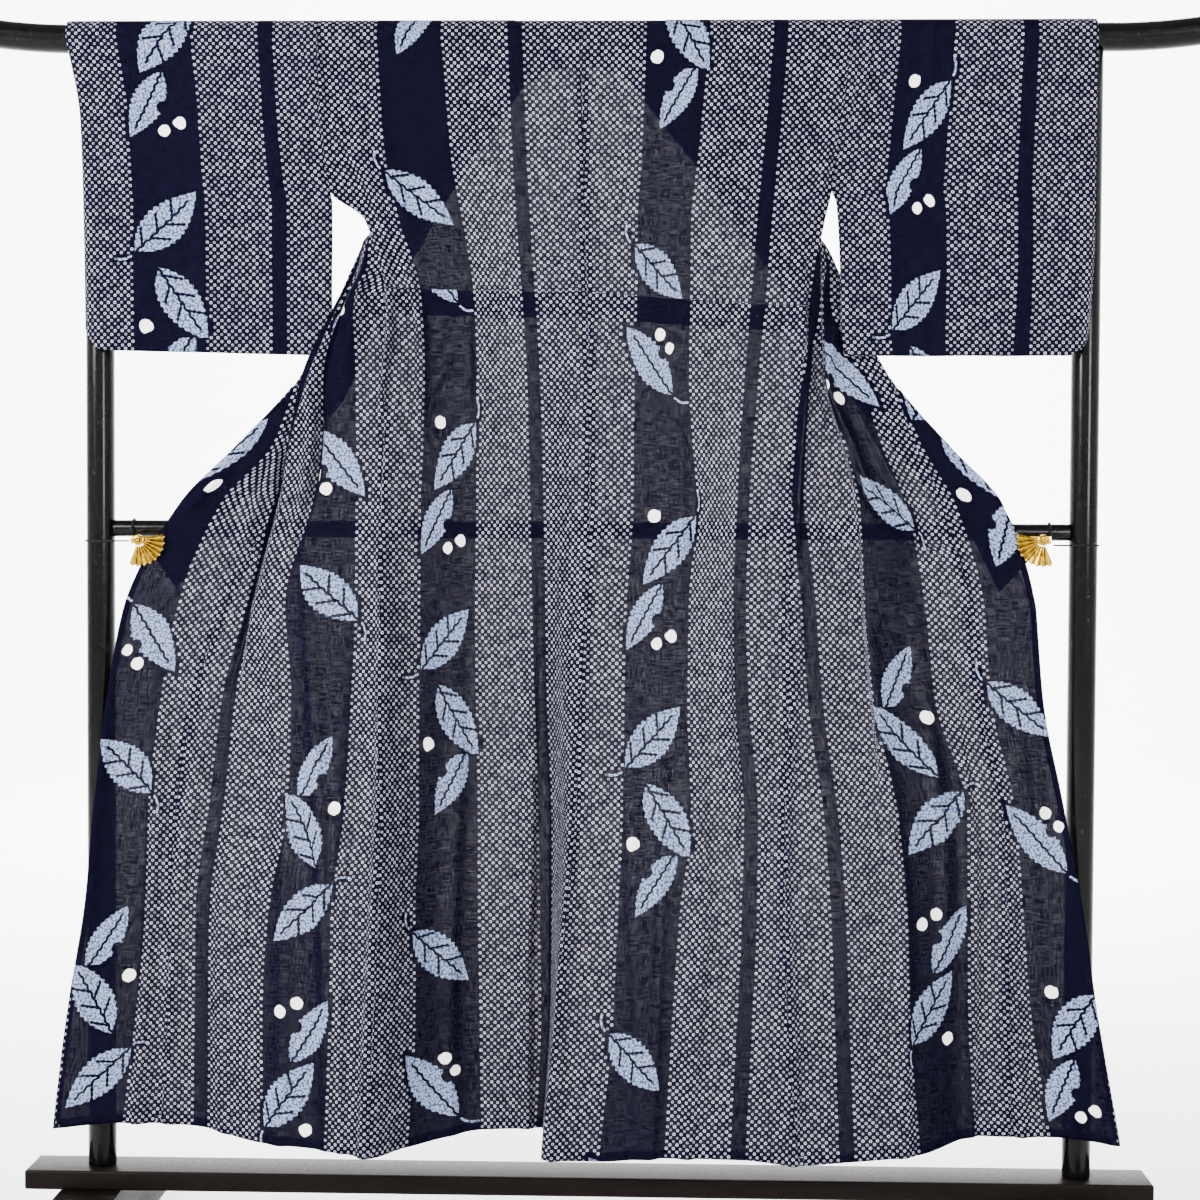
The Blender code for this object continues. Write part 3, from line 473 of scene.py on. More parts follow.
def voile(name, leaves, sheer):
    """Navy voile with tied dots, and with the leaves of its fourth stripe where leaves is true. It is quicker
    to draw without them, and where it always lies double and so isn't sheer."""
    made, tree = new_material(name)
    cloth = node(tree, "UVMap", uv_map="cloth")
    u, v = node(tree, "SeparateXYZ", [cloth], [0, 1])
    # The dots lie in rows along both diagonals: p and q count the rows.
    p = node(tree, "Math", [u, v], operation="ADD")
    p = node(tree, "Math", [p, DOT_PITCH], operation="DIVIDE")
    p = node(tree, "Math", [p], operation="ROUND")
    q = node(tree, "Math", [u, v], operation="SUBTRACT")
    q = node(tree, "Math", [q, DOT_PITCH], operation="DIVIDE")
    q = node(tree, "Math", [q], operation="ROUND")
    dot_u = node(tree, "Math", [p, q], operation="ADD")
    dot_u = node(tree, "Math", [dot_u, DOT_PITCH / 2], operation="MULTIPLY")
    dot_v = node(tree, "Math", [p, q], operation="SUBTRACT")
    dot_v = node(tree, "Math", [dot_v, DOT_PITCH / 2], operation="MULTIPLY")
    # Each dot is tied by hand, so its place, size and colour wander a little.
    pair = node(tree, "CombineXYZ", [p, q])
    hand = node(tree, "TexWhiteNoise", {"Vector": pair}, 1, noise_dimensions="2D")
    wander = node(tree, "SeparateColor", [hand], [0, 1, 2])
    cubes = []
    for place, middle, stray in zip((u, v), (dot_u, dot_v), wander):
        moved = node(tree, "Math", [stray, DOT_STRAY, middle], operation="MULTIPLY_ADD")
        away = node(tree, "Math", [place, moved], operation="SUBTRACT")
        away = node(tree, "Math", [away, DOT_STRAY / 2], operation="ADD")
        away = node(tree, "Math", [away], operation="ABSOLUTE")
        cubes.append(node(tree, "Math", [away, 3.0], operation="POWER"))
    spread = node(tree, "Math", cubes, operation="ADD")
    spread = node(tree, "Math", [spread, 1 / 3], operation="POWER")
    size = node(tree, "Math", [wander[2], DOT_RANGE, 1 - DOT_RANGE / 2], operation="MULTIPLY_ADD")
    spread = node(tree, "Math", [spread, size], operation="MULTIPLY")
    rim = [spread, DOT_R - DOT_SOFT, DOT_R + DOT_SOFT, 1.0, 0.0]
    hole = [spread, DOT_HOLE_R - DOT_SOFT, DOT_HOLE_R + DOT_SOFT]
    ring = node(tree, "MapRange", rim, interpolation_type="SMOOTHSTEP")
    open_middle = node(tree, "MapRange", hole, interpolation_type="SMOOTHSTEP")
    ring = node(tree, "Math", [ring, open_middle], operation="MULTIPLY")
    for low, high in (LEAF_STRIPE, PLAIN_STRIPE):
        bare = node(tree, "Math", [dot_u, (low + high) / 2, (high - low) / 2], operation="COMPARE")
        bare = node(tree, "Math", [1.0, bare], operation="SUBTRACT")
        ring = node(tree, "Math", [ring, bare], operation="MULTIPLY")
    # The threads: slubs along warp and weft, several times as coarse as the threads are.
    slubs = []
    for scale in SLUBS:
        stretched = node(tree, "Mapping", {"Vector": cloth, "Scale": scale})
        slub = {"Vector": stretched, "Scale": 1.0, "Detail": 2.0}
        slubs.append(node(tree, "TexNoise", slub, noise_dimensions="2D"))
    weave = node(tree, "Math", slubs[:2], operation="ADD")
    weave = node(tree, "Math", [weave, 0.5], operation="MULTIPLY")
    crinkle = slubs[2]
    height = node(tree, "Math", [ring, RING_RELIEF, crinkle], operation="MULTIPLY_ADD")
    height = node(tree, "Math", [weave, WEAVE_RELIEF, height], operation="MULTIPLY_ADD")

    worn = node(tree, "MapRange", [weave, 0.42, 0.58], interpolation_type="SMOOTHSTEP")
    navy = {0: worn, 6: linear("#05040f"), 7: linear("#0a0919")}
    colour = node(tree, "Mix", navy, 2, data_type="RGBA")
    undyed = {0: wander[2], 6: linear("#adadbc"), 7: linear("#7c7c8c")}
    undyed = node(tree, "Mix", undyed, 2, data_type="RGBA")
    white = ring
    if leaves:
        sprigs = leaf_group()
        inside, vein, tendril, large = node(tree, "Group", [u, v], [0, 1, 2, 3], node_tree=sprigs)
        # A dot is left out whole where its middle comes near a leaf or a tendril.
        dot_inside, dot_tendril = node(tree, "Group", [dot_u, dot_v], [0, 2], node_tree=sprigs)
        for clear in (
            node(tree, "Math", [dot_inside, -CLEAR_OF_LEAF], operation="LESS_THAN"),
            node(tree, "Math", [dot_tendril, CLEAR_OF_TENDRIL], operation="GREATER_THAN"),
        ):
            ring = node(tree, "Math", [ring, clear], operation="MULTIPLY")
        uneven = node(tree, "Math", [slubs[0], 0.5], operation="SUBTRACT")
        uneven = node(tree, "Math", [uneven, LEAF_RAGGED, inside], operation="MULTIPLY_ADD")
        leaf = node(tree, "MapRange", [uneven, *LEAF_BLUR], interpolation_type="SMOOTHSTEP")
        vein = node(tree, "Math", [1.0, vein], operation="SUBTRACT")
        leaf = node(tree, "Math", [leaf, vein], operation="MULTIPLY")
        knots = {"Vector": cloth, "Scale": KNOTS}
        beads = node(tree, "TexVoronoi", knots, voronoi_dimensions="2D")
        beaded = node(tree, "MapRange", [beads, 0.25, 0.65, 1.0, 0.1], interpolation_type="SMOOTHSTEP")
        curled = node(tree, "MapRange", [tendril, *TENDRIL_BLUR, 1.0, 0.0], interpolation_type="SMOOTHSTEP")
        curled = node(tree, "Math", [curled, beaded], operation="MULTIPLY")
        ragged = node(tree, "Math", [crinkle, 0.5], operation="SUBTRACT")
        large = node(tree, "Math", [ragged, LARGE_RAGGED, large], operation="MULTIPLY_ADD")
        large = node(tree, "MapRange", [large, *LARGE_BLUR, 1.0, 0.0], interpolation_type="SMOOTHSTEP")
        tied = {0: beaded, 6: linear("#2a3552"), 7: linear("#808ba8")}
        tied = node(tree, "Mix", tied, 2, data_type="RGBA")
        thread, bright = linear("#8e9ab8"), linear("#f4f2ec")
        for cover, tone in ((ring, undyed), (leaf, tied), (curled, thread), (large, bright)):
            colour = node(tree, "Mix", {0: cover, 6: colour, 7: tone}, 2, data_type="RGBA")
        white = node(tree, "Math", [leaf, large], operation="MAXIMUM")
        white = node(tree, "Math", [ring, white], operation="MAXIMUM")
    else:
        colour = node(tree, "Mix", {0: ring, 6: colour, 7: undyed}, 2, data_type="RGBA")
    coat = {
        "Base Color": colour,
        "Roughness": node(tree, "MapRange", [weave, 0.4, 0.6, 0.88, 0.76], interpolation_type="SMOOTHSTEP"),
        "Specular IOR Level": 0.01,
        "Normal": node(tree, "Bump", {"Height": height, "Strength": 0.5, "Distance": 0.0016}),
    }
    if sheer:
        # Cloth that hangs aslant shows more thread and less of the light behind it.
        normal = node(tree, "NewGeometry", outputs="Normal")
        facing = node(tree, "SeparateXYZ", [normal], 1)
        facing = node(tree, "Math", [facing], operation="ABSOLUTE")
        facing = node(tree, "Math", [facing, 0.3], operation="MAXIMUM")
        slant = node(tree, "Math", [1.0, facing], operation="DIVIDE")
        through = node(tree, "MapRange", [weave, 0.38, 0.62, *SHEER], interpolation_type="SMOOTHSTEP")
        through = node(tree, "Math", [through, slant], operation="POWER")
        dyed = node(tree, "Math", [white, SHEER_WHITE - 1, 1.0], operation="MULTIPLY_ADD")
        through = node(tree, "Math", [through, dyed], operation="MULTIPLY")
        coat["Alpha"] = node(tree, "Math", [1.0, through], operation="SUBTRACT")
    node(tree, "OutputMaterial", {"Surface": node(tree, "BsdfPrincipled", coat)})
    made.use_transparent_shadow = False  # the lamps' light hardly comes through, and it takes long to draw
    return made


single = (
    voile("indigo tie-dyed cotton voile with leaves", True, True),
    voile("indigo tie-dyed cotton voile", False, True),
)
double = (
    voile("doubled indigo tie-dyed cotton voile with leaves", True, False),
    voile("doubled indigo tie-dyed cotton voile", False, False),
)

# ----------------------------------------------------------------------------------------------- front panels
# Each front is one length of cloth with its back: it comes from the shoulder fold behind the rail, hangs
# under the back as far as the armpit, and swings out beside it, drawn to the clip by its collar. Below that
# its outer face is to the viewer, and the lower edge is turned up behind as a narrow hem.

CLOTH = 0.0004
LAYER = 0.0015  # from one layer of the robe to the next
OUTER_R = 0.0224  # the outermost layer, where it passes over the rail
FLAP = 0.038  # how far the shoulders hang down behind the rail
HEM, TURN_UP = 0.13, 0.0115
ALLOWANCE, BEHIND = 0.008, 0.0008  # cloth turned behind at seams and edges: its width, and how far behind
CROSSING = 1.285  # the height at which the fronts come out from under the backs
TUCKED, TUCKED_OVER = 0.035, 0.03  # below it they come forward to the outermost layer
FOLD_TOP, EDGE_FOLD_TOP = 1.31, 0.85  # folds fill out from here down to the hem
# Columns run down the robe, from 0 at the left edge to 20 at the right edge, along its seams and stripes.
SEAM_L, SIDE_L, CENTRE, SIDE_R, SEAM_R, LAST = 2, 6, 10, 14, 18, 20
BACK = {
    # height: side_l leaf_a leaf_b narrow centre leaf_a leaf_b narrow side_r
    1.543: (-347, -273, -189, -97, -12, 70, 153, 240, 330),
    1.45: (-344, -267, -181, -93, -10, 67, 144, 233, 319),
    1.38: (-337, -260, -174, -90, -8, 64, 137, 227, 311),
    1.345: (-331, -253, -168, -88, -7, 62, 133, 224, 306),
    1.31: (-287, -244, -161, -86, -6, 60, 130, 221, 298),
    1.21: (-259, -214, -146, -79, -2, 60, 129, 213, 279),
    1.11: (-257, -208, -142, -72, 1, 57, 128, 204, 268),
    1.02: (-257, -210, -142, -69, 2, 57, 133, 197, 260),
    0.95: (-259, -213, -142, -67, 3, 57, 139, 193, 255),
    0.82: (-259, -213, -143, -64, 0, 49, 129, 189, 251),
    0.70: (-261, -213, -142, -61, -7, 47, 128, 193, 253),
    0.56: (-255, -213, -139, -54, -12, 46, 133, 205, 248),
    0.43: (-257, -217, -138, -51, -24, 40, 119, 204, 249),
    0.30: (-263, -216, -136, -49, -36, 35, 111, 199, 253),
    0.13: (-269, -226, -133, -57, -52, 18, 102, 191, 268),
}
FRONT_LEFT = {
    # height: okumi_edge okumi_leaf okumi_seam narrow leaf_b leaf_a
    1.285: (-291, -290.5, -290, -286.7, -283.3, -280),
    1.25: (-305, -303, -301, -296, -290, -281),
    1.21: (-320, -319, -318, -314, -308, -297),
    1.11: (-368, -366.5, -365, -356, -338, -294),
    1.02: (-453, -405, -386, -383, -341, -292),
    0.95: (-522, -469, -402, -398, -350, -292),
    0.82: (-594, -524, -466, -430, -385, -291),
    0.70: (-617, -546, -503, -458, -377, -295),
    0.56: (-633, -563, -529, -476, -380, -303),
    0.43: (-645, -567, -536, -493, -404, -318),
    0.30: (-667, -579, -539, -495, -412, -320),
    0.13: (-688, -600, -551, -497, -410, -326),
}
FRONT_RIGHT = {
    # height: narrow leaf_b leaf_a okumi_seam okumi_leaf okumi_edge
    1.285: (292, 293.5, 295, 297, 297.5, 298),
    1.25: (293, 300, 306, 312, 314, 316),
    1.21: (285, 295, 307, 324, 328, 332),
    1.11: (276, 300, 346, 381, 382.5, 384),
    1.02: (268, 325, 374, 416, 424, 461),
    0.95: (266, 341, 403, 450, 465, 525),
    0.82: (278, 348, 430, 485, 502, 568),
    0.70: (287, 359, 443, 498, 512, 579),
    0.56: (307, 390, 485, 528, 544, 607),
    0.43: (317, 402, 487, 536, 556, 631),
    0.30: (322, 407, 489, 541, 567, 649),
    0.13: (329, 422, 500, 545, 596, 680),
}
# How far the hem stands out and how high it hangs at each column, in millimetres.
HEM_NEAR = (15, 0, 0, 5, 37, 60, 79, 40, 0, 0, 78, 78, 80, 82, 83, 78, 52, 0, 0, 0, 20)
HEM_HEIGHT = (141, 146, 146, 143, 133, 132, 128, 130, 143, 146, 128)
HEM_HEIGHT += (127, 133, 133, 127, 130, 133, 143, 142, 142, 139)
UPPER_SEAM = {
    # {height: x} of the collar's seam, under the backs
    "left": {1.543: -104, 1.528: -108, 1.492: -142, 1.373: -222, 1.31: -268, 1.285: -290},
    "right": {1.543: 92, 1.528: 94, 1.494: 112, 1.406: 182, 1.31: 250, 1.285: 297},
}
TWIST = {
    # {height: how far that seam comes forward}, as the fronts swing out
    "left": {1.40: 0, 1.345: 8, 1.31: 13, 1.285: 14, 1.25: 6, 1.22: -2, 1.195: -12, 1.12: -11, 1.02: 0},
    "right": {1.40: 0, 1.345: 8, 1.31: 13, 1.285: 14, 1.25: 14, 1.21: 13, 1.14: 10, 1.08: 3, 1.0: 0},
}
CREASES = (
    # how far the crease stands out, how wide it is left and right (below and above) of its line, and places
    # (x, z) that its line passes, all in millimetres
    # the left sleeve
    (4, 16, 20, (-500, 1523), (-492, 1346), (-501, 1163)),
    (2.4, 12, 16, (-407, 1491), (-401, 1333), (-411, 1169)),
    (1.8, 20, 14, (-605, 1529), (-595, 1396), (-600, 1194)),
    (5, 4, 5, (-365, 1558), (-357, 1510), (-351, 1437)),
    (6.5, 4, 5, (-351, 1566), (-344, 1498), (-340, 1396)),
    # the right sleeve
    (4, 18, 15, (530, 1466), (545, 1333), (534, 1169)),
    (2.1, 14, 18, (609, 1510), (604, 1358), (614, 1182)),
    (6.5, 3, 5, (433, 1568), (430, 1535), (428, 1470)),
    (2.4, 13, 12, (462, 1447), (457, 1308), (465, 1163)),
    (5, 5, 4, (357, 1561), (349, 1498), (343, 1409)),
    (6, 5, 4, (344, 1567), (332, 1498), (325, 1396)),
    # drawn from the shoulders down to the armholes
    (5.5, 8, 10, (-313, 1535), (-299, 1447), (-286, 1371), (-268, 1314)),
    (7, 7, 8, (-333, 1470), (-312, 1409), (-280, 1346), (-250, 1270)),
    (4.5, 9, 7, (-279, 1510), (-263, 1422), (-240, 1333), (-217, 1251)),
    (2.4, 12, 9, (-232, 1535), (-222, 1434), (-194, 1333), (-176, 1219)),
    (5, 8, 6, (321, 1543), (308, 1460), (298, 1371), (287, 1314)),
    (6, 8, 7, (327, 1466), (305, 1396), (287, 1327), (276, 1255)),
    (2.4, 10, 12, (272, 1529), (262, 1434), (241, 1346), (226, 1245)),
    # gathered under the left arm, first the valleys
    (
        -10, 5, 5,
        (-291, 1290), (-308, 1210), (-334, 1110), (-340, 1040), (-346, 985), (-358, 930), (-386, 850),
    ),
    (
        -10.5, 4, 4,
        (-366, 1090), (-388, 1026), (-397, 960), (-406, 920), (-420, 870), (-438, 790), (-460, 700),
    ),
    (10.5, 10, 4, (-345, 1140), (-353, 1085), (-350, 1045), (-354, 1000), (-362, 950), (-384, 890)),
    (8, 8, 8, (-380, 1040), (-408, 985), (-428, 930), (-446, 860)),
    (9.8, 5, 8, (-294, 1303), (-288, 1255), (-294, 1192), (-307, 1141), (-313, 1080)),
    (11.5, 5, 5, (-270, 1288), (-255, 1232), (-252, 1169), (-258, 1099), (-264, 1030)),
    (10.5, 5, 9, (-254, 1293), (-228, 1232), (-215, 1169), (-213, 1090), (-215, 1017)),
    (4.5, 6, 6, (-161, 1163), (-179, 1128), (-200, 1085)),
    (2.4, 5, 5, (-179, 1179), (-190, 1149), (-201, 1118)),
    (4.5, 13, 4, (-155, 1207), (-151, 1131), (-152, 1042)),
    (5.5, 4, 12, (-134, 1212), (-131, 1080), (-134, 916)),
    # gathered under the right arm, first the valleys
    (-10, 6, 4, (288, 1160), (301, 1085), (330, 1020), (355, 954), (390, 918), (440, 880)),
    (-8, 4, 6, (283, 1200), (286, 1120), (300, 1060), (312, 1010)),
    (10.5, 11, 4, (268, 1327), (271, 1207), (273, 1090), (267, 992), (262, 878)),
    (11.5, 4, 5, (318, 1207), (308, 1150), (298, 1085)),
    (10.5, 4, 9, (298, 1101), (318, 1048), (343, 987), (359, 948)),
    (9, 8, 8, (336, 1075), (367, 1017), (400, 951), (429, 888)),
    (9, 4, 7, (352, 969), (390, 934), (434, 888)),
    (5, 8, 5, (250, 1049), (249, 941), (254, 828)),
    (5, 5, 10, (280, 1049), (282, 929), (289, 809)),
    (4.5, 5, 12, (141, 1083), (143, 954), (139, 778)),
    (4, 12, 5, (114, 1080), (120, 929), (118, 802)),
    # hanging from the shoulders
    (4.5, 16, 12, (66, 1529), (69, 1358), (74, 1169), (79, 979)),
    (5, 14, 9, (-20, 1510), (-15, 1283), (-19, 1042), (-21, 828)),
    (2.4, 14, 16, (-78, 1510), (-83, 1333), (-89, 1156)),
    (2.7, 12, 15, (164, 1498), (159, 1333), (164, 1169)),
    (2.2, 10, 9, (-129, 1523), (-127, 1384), (-122, 1232)),
    # the long folds of the back
    (11.5, 5, 14, (-263, 1030), (-259, 828), (-258, 628), (-264, 452), (-273, 277), (-286, -60)),
    (8, 9, 5, (-291, 815), (-294, 628), (-304, 452), (-307, 252), (-300, -60)),
    (9, 11, 5, (-71, 929), (-69, 727), (-71, 502), (-75, 302), (-68, -60)),
    (10, 6, 14, (-35, 903), (-29, 702), (-25, 502), (-34, 315), (-48, -60)),
    (6, 14, 8, (-165, 840), (-163, 652), (-168, 477), (-172, 315), (-160, -60)),
    (8, 9, 4, (178, 840), (179, 715), (188, 590), (186, 477)),
    (6.5, 5, 10, (213, 828), (220, 702), (231, 577), (223, 452), (218, 315)),
    (8, 12, 6, (139, 778), (142, 602), (151, 452), (142, 302), (118, -60)),
    (10, 10, 6, (268, 878), (265, 778), (254, 652), (249, 502), (256, 352), (262, 215), (262, -60)),
    (6, 10, 14, (43, 878), (49, 702), (57, 502), (66, 327), (81, -60)),
    (6, 8, 7, (85, 702), (97, 528), (92, 352), (79, -60)),
    # the left front
    (10, 9, 12, (-358, 1042), (-356, 878), (-345, 678), (-334, 477), (-327, 315), (-323, -60)),
    (8, 12, 10, (-390, 992), (-407, 853), (-396, 678), (-381, 477), (-383, 302), (-397, -60)),
    (9, 10, 14, (-479, 815), (-489, 678), (-515, 540), (-531, 390), (-545, -60)),
    (10, 8, 12, (-525, 815), (-546, 702), (-554, 577), (-561, 452), (-570, 315), (-596, -60)),
    (7, 10, 9, (-441, 778), (-448, 628), (-464, 477), (-471, 327), (-460, -60)),
    (8, 12, 12, (-592, 878), (-613, 727), (-631, 577), (-644, 415), (-659, 252)),
    (5, 8, 8, (-587, 888), (-541, 876), (-487, 853), (-420, 820)),
    (5, 8, 9, (-590, 883), (-554, 838), (-518, 765), (-500, 678)),
    (4.5, 7, 9, (-577, 903), (-528, 929), (-474, 979), (-420, 1050)),
    # the right front
    (9, 12, 9, (352, 828), (364, 702), (388, 552), (403, 390), (403, -60)),
    (8, 10, 12, (408, 840), (429, 715), (444, 590), (457, 452), (452, 302)),
    (10, 12, 5, (447, 828), (466, 715), (482, 602), (496, 477), (496, 327), (490, -60)),
    (8, 5, 11, (501, 778), (516, 652), (533, 515), (545, 365), (565, -60)),
    (8, 10, 12, (583, 853), (604, 715), (624, 565), (645, 402), (687, -60)),
    (6.5, 8, 10, (545, 802), (560, 678), (575, 540), (588, 390)),
    (5, 8, 8, (593, 888), (545, 871), (493, 840), (452, 800)),
    (4.5, 8, 9, (599, 878), (568, 820), (547, 752)),
    (4.5, 8, 7, (586, 903), (542, 939), (488, 992), (434, 1058)),
    # short creases left by folding
    (2.2, 5, 5, (-212, 1048), (-191, 1044), (-173, 1049)),
    (1.8, 5, 4, (-83, 1030), (-56, 1032)),
    (2.2, 5, 5, (-212, 848), (-196, 840), (-178, 845)),
    (4.5, 6, 5, (-222, 486), (-186, 495), (-142, 506)),
    (2.1, 5, 5, (-212, 502), (-178, 505)),
    (4.5, 6, 5, (354, 845), (390, 840), (431, 847)),
    (2.7, 5, 5, (349, 828), (380, 830), (408, 824)),
    (2.4, 5, 5, (308, 464), (339, 466)),
    (1.5, 5, 5, (76, 1002), (102, 998), (130, 1003)),
)
CREASE_FADE = 0.7  # how soon a crease reaches its full depth from its ends
CREASE_OVER = 0.035  # they die out over this length, behind the rail
CRINKLES = ((0.045, 0.0007), (0.019, 0.0003))  # size and height of the slight waves all over the cloth
CRINKLE_WAYS = (0.4, 1.5, 2.5, 3.4)  # in radians
CRINKLE_ACROSS, CRINKLE_DOWN = 1.6, 0.8  # how close they lie across the cloth and down it
CRINKLE_BEND, CRINKLE_BEND_SIZE = 1.7, 1.9  # how far they wander to and fro, and how slowly
CRINKLE_TOP, CRINKLE_FULL = 1.535, 1.45  # heights between which they die out at the rail
CLIPS = ((-0.576, 0.900), (0.576, 0.905))
CLIP_CALM = (0.035, 0.085)  # creases and waves die out within these distances of a clip
ACROSS = {
    # {column: metres across the bolt}
    "front_left": {3: 0.258, 4: 0.166, 5: 0.077},
    "front_right": {15: 0.258, 16: 0.166, 17: 0.077},
    "okumi_left": {1: 0.077},
    "okumi_right": {19: 0.077},
    "back_left": {7: 0.077, 8: 0.166, 9: 0.258},
    "back_right": {11: 0.077, 12: 0.166, 13: 0.258},
}
FRONT_SHIFT = {"left": 0.835, "right": 0.952}  # metres along the bolt that are cut off before it
GATHERS = {
    # the cloth that these two columns have to spare is hidden where {height: x in mm} runs between them
    "front_left": (
        (3, 4, {1.285: -290, 1.11: -362, 1.02: -386, 0.95: -402, 0.82: -431, 0.13: -497}),
        (4, 5, {1.285: -284, 1.11: -336, 1.02: -338, 0.95: -347, 0.82: -382, 0.13: -410}),
    ),
    "front_right": (
        (15, 16, {1.285: 292, 1.11: 297, 1.02: 321, 0.95: 337, 0.82: 346, 0.13: 420}),
        (16, 17, {1.285: 294, 1.085: 301, 1.02: 331, 0.954: 355, 0.92: 388, 0.885: 424, 0.13: 498}),
    ),
}
GATHER_FROM, GATHER_OVER = 1.05, 0.2  # at how many times the room it has the cloth begins to pleat
BENT_OVER = 0.09  # how far from a slanting row the rows beside it are bent as well


def glide(knots, values, at):
    """A cubic through the values at rising knots that never overshoots them; values may be many rows."""
    knots, values, at = (np.asarray(a, float) for a in (knots, values, at))
    step = np.diff(knots)
    rise = np.diff(values, axis=-1) / step
    before, after = rise[..., :-1], rise[..., 1:]
    both = np.where(before + after == 0, 1, before + after)
    even = np.where(before * after > 0, 2 * before * after / both, 0)
    slope = np.concatenate([rise[..., :1], even, rise[..., -1:]], axis=-1)
    at = np.clip(at, knots[0], knots[-1])
    i = np.clip(np.searchsorted(knots, at, "right") - 1, 0, len(knots) - 2)
    t = (at - knots[i]) / step[i]

    def pick(array, j):
        return array[j] if array.ndim == 1 else np.take_along_axis(array, j, -1)

    return (
        pick(values, i) * (1 + 2 * t) * (1 - t) ** 2
        + pick(slope, i) * step[i] * t * (1 - t) ** 2
        + pick(values, i + 1) * t * t * (3 - 2 * t)
        + pick(slope, i + 1) * step[i] * t * t * (t - 1)
    )


def ease(t):
    t = np.clip(t, 0, 1)
    return t * t * (3 - 2 * t)


def by_height(table, heights):
    """Metres from {height: millimetres}, or from {height: a row of them}, which adds a last axis."""
    rows = sorted(table.items())
    knots = [row[0] for row in rows]
    values = np.array([row[1] for row in rows], float).T / 1000
    if values.ndim == 1:
        return glide(knots, values, heights)
    return np.stack([glide(knots, column, heights) for column in values], axis=-1)


def column_xs(heights):
    return np.concatenate([by_height(table, heights) for table in (FRONT_LEFT, BACK, FRONT_RIGHT)], axis=-1)


def x_at(column, heights):
    """x where a column, whole or part, passes each height; both are arrays of rows by columns."""
    xs = column_xs(heights).reshape(-1, LAST + 1)
    return glide(range(LAST + 1), xs, column.reshape(-1, 1)).reshape(column.shape)


def near(column, heights):
    """How far the hanging folds stand out: nothing at the shoulders, all at the hem."""
    s = np.clip((FOLD_TOP - heights) / (FOLD_TOP - HEM), 0, 1)
    out = glide(range(LAST + 1), HEM_NEAR, column) / 1000 * s * (2 - s)
    edge = (column <= SEAM_L) | (column >= SEAM_R)
    return np.where(edge, out * ease((EDGE_FOLD_TOP - heights) / (EDGE_FOLD_TOP - HEM)), out)


def over_rail(layer, g, out):
    """(y, z): g up to 0 hangs below the rail's axis by -g, to 1 turns over it, to 2 is the flap behind it,
    and then turns under to meet the next layer."""
    radius = OUTER_R - layer * LAYER
    turn = np.clip(g, 0, 1) * math.pi
    under = np.maximum(g - 2, 0) * math.pi
    middle = OUTER_R - LAYER / 2
    y = np.where(g > 2, middle + (radius - middle) * np.cos(under), -radius * np.cos(turn))
    z = RAIL_Z + radius * np.sin(turn) + np.minimum(g, 0) - np.clip(g - 1, 0, 1) * FLAP
    return y - np.where(g <= 0, out, 0), z - LAYER / 2 * np.sin(under)


def creased(x, h):
    """How far creases push every layer towards the viewer, in metres, at height h along the cloth."""
    out = np.zeros_like(x)
    for size, height in CRINKLES:
        for turned in CRINKLE_WAYS:
            way = x * math.cos(turned) * CRINKLE_ACROSS + h * math.sin(turned) * CRINKLE_DOWN
            aside = x * math.sin(turned) - h * math.cos(turned)
            bend = CRINKLE_BEND * np.sin(aside / size / CRINKLE_BEND_SIZE + turned)
            out += height * np.sin(way / size + bend)
    out = np.maximum(out, -LAYER) * ease((CRINKLE_TOP - h) / (CRINKLE_TOP - CRINKLE_FULL))
    for tall, left, right, *spots in CREASES:
        spots = np.array(spots) / 1000
        level = abs(spots[-1, 0] - spots[0, 0]) > abs(spots[-1, 1] - spots[0, 1])
        runs, across = (x, h) if level else (h, x)
        line = spots if level else spots[:, ::-1]
        line = line[np.argsort(line[:, 0])]
        off = across - glide(line[:, 0], line[:, 1], runs)
        along = np.clip((runs - line[0, 0]) / (line[-1, 0] - line[0, 0]), 0, 1)
        shape = np.exp(-((off / np.where(off < 0, left, right) * 1000) ** 2))
        out += tall / 1000 * shape * np.sin(math.pi * along) ** CREASE_FADE
    out = out * ease((RAIL_Z + math.pi * OUTER_R - h) / CREASE_OVER)
    for clip_x, clip_z in CLIPS:
        away = np.hypot(x - clip_x, h - clip_z)
        out = out * ease((away - CLIP_CALM[0]) / (CLIP_CALM[1] - CLIP_CALM[0]))
    return out


def finished(x, y, z, g):
    """The points with the creases added, in front of the rail and over it."""
    turn = np.clip(g, 0, 1) * math.pi
    push = creased(x, RAIL_Z + np.minimum(g, 0) + turn * OUTER_R)
    return np.stack([x, y - push * np.cos(turn), z + push * np.sin(turn)], axis=-1)


def front_surface(column, g):
    heights = RAIL_Z + np.minimum(g, 0)
    left = column < CENTRE
    side_column = np.where(left, SIDE_L, SIDE_R)
    part = (column - side_column) / np.where(left, SEAM_L - SIDE_L, SEAM_R - SIDE_R)
    side_x = x_at(side_column + 0.0 * column, heights)
    seam = np.where(left, by_height(UPPER_SEAM["left"], heights), by_height(UPPER_SEAM["right"], heights))
    x = np.where(heights > CROSSING, side_x + (seam - side_x) * part, x_at(column, heights))
    y, z = over_rail(ease((heights - CROSSING + TUCKED) / TUCKED_OVER), g, near(column, heights))
    twist = np.where(left, by_height(TWIST["left"], heights), by_height(TWIST["right"], heights))
    return finished(x, y + np.where(g <= 0, twist * np.clip(part, 0, 1), 0), z, g)


def unrolled(layer, g):
    """Height, measured along the cloth where it goes over the rail and down behind."""
    radius = OUTER_R - layer * LAYER
    return RAIL_Z + np.minimum(g, 0) + np.clip(g, 0, 1) * math.pi * radius + np.maximum(g - 1, 0) * FLAP


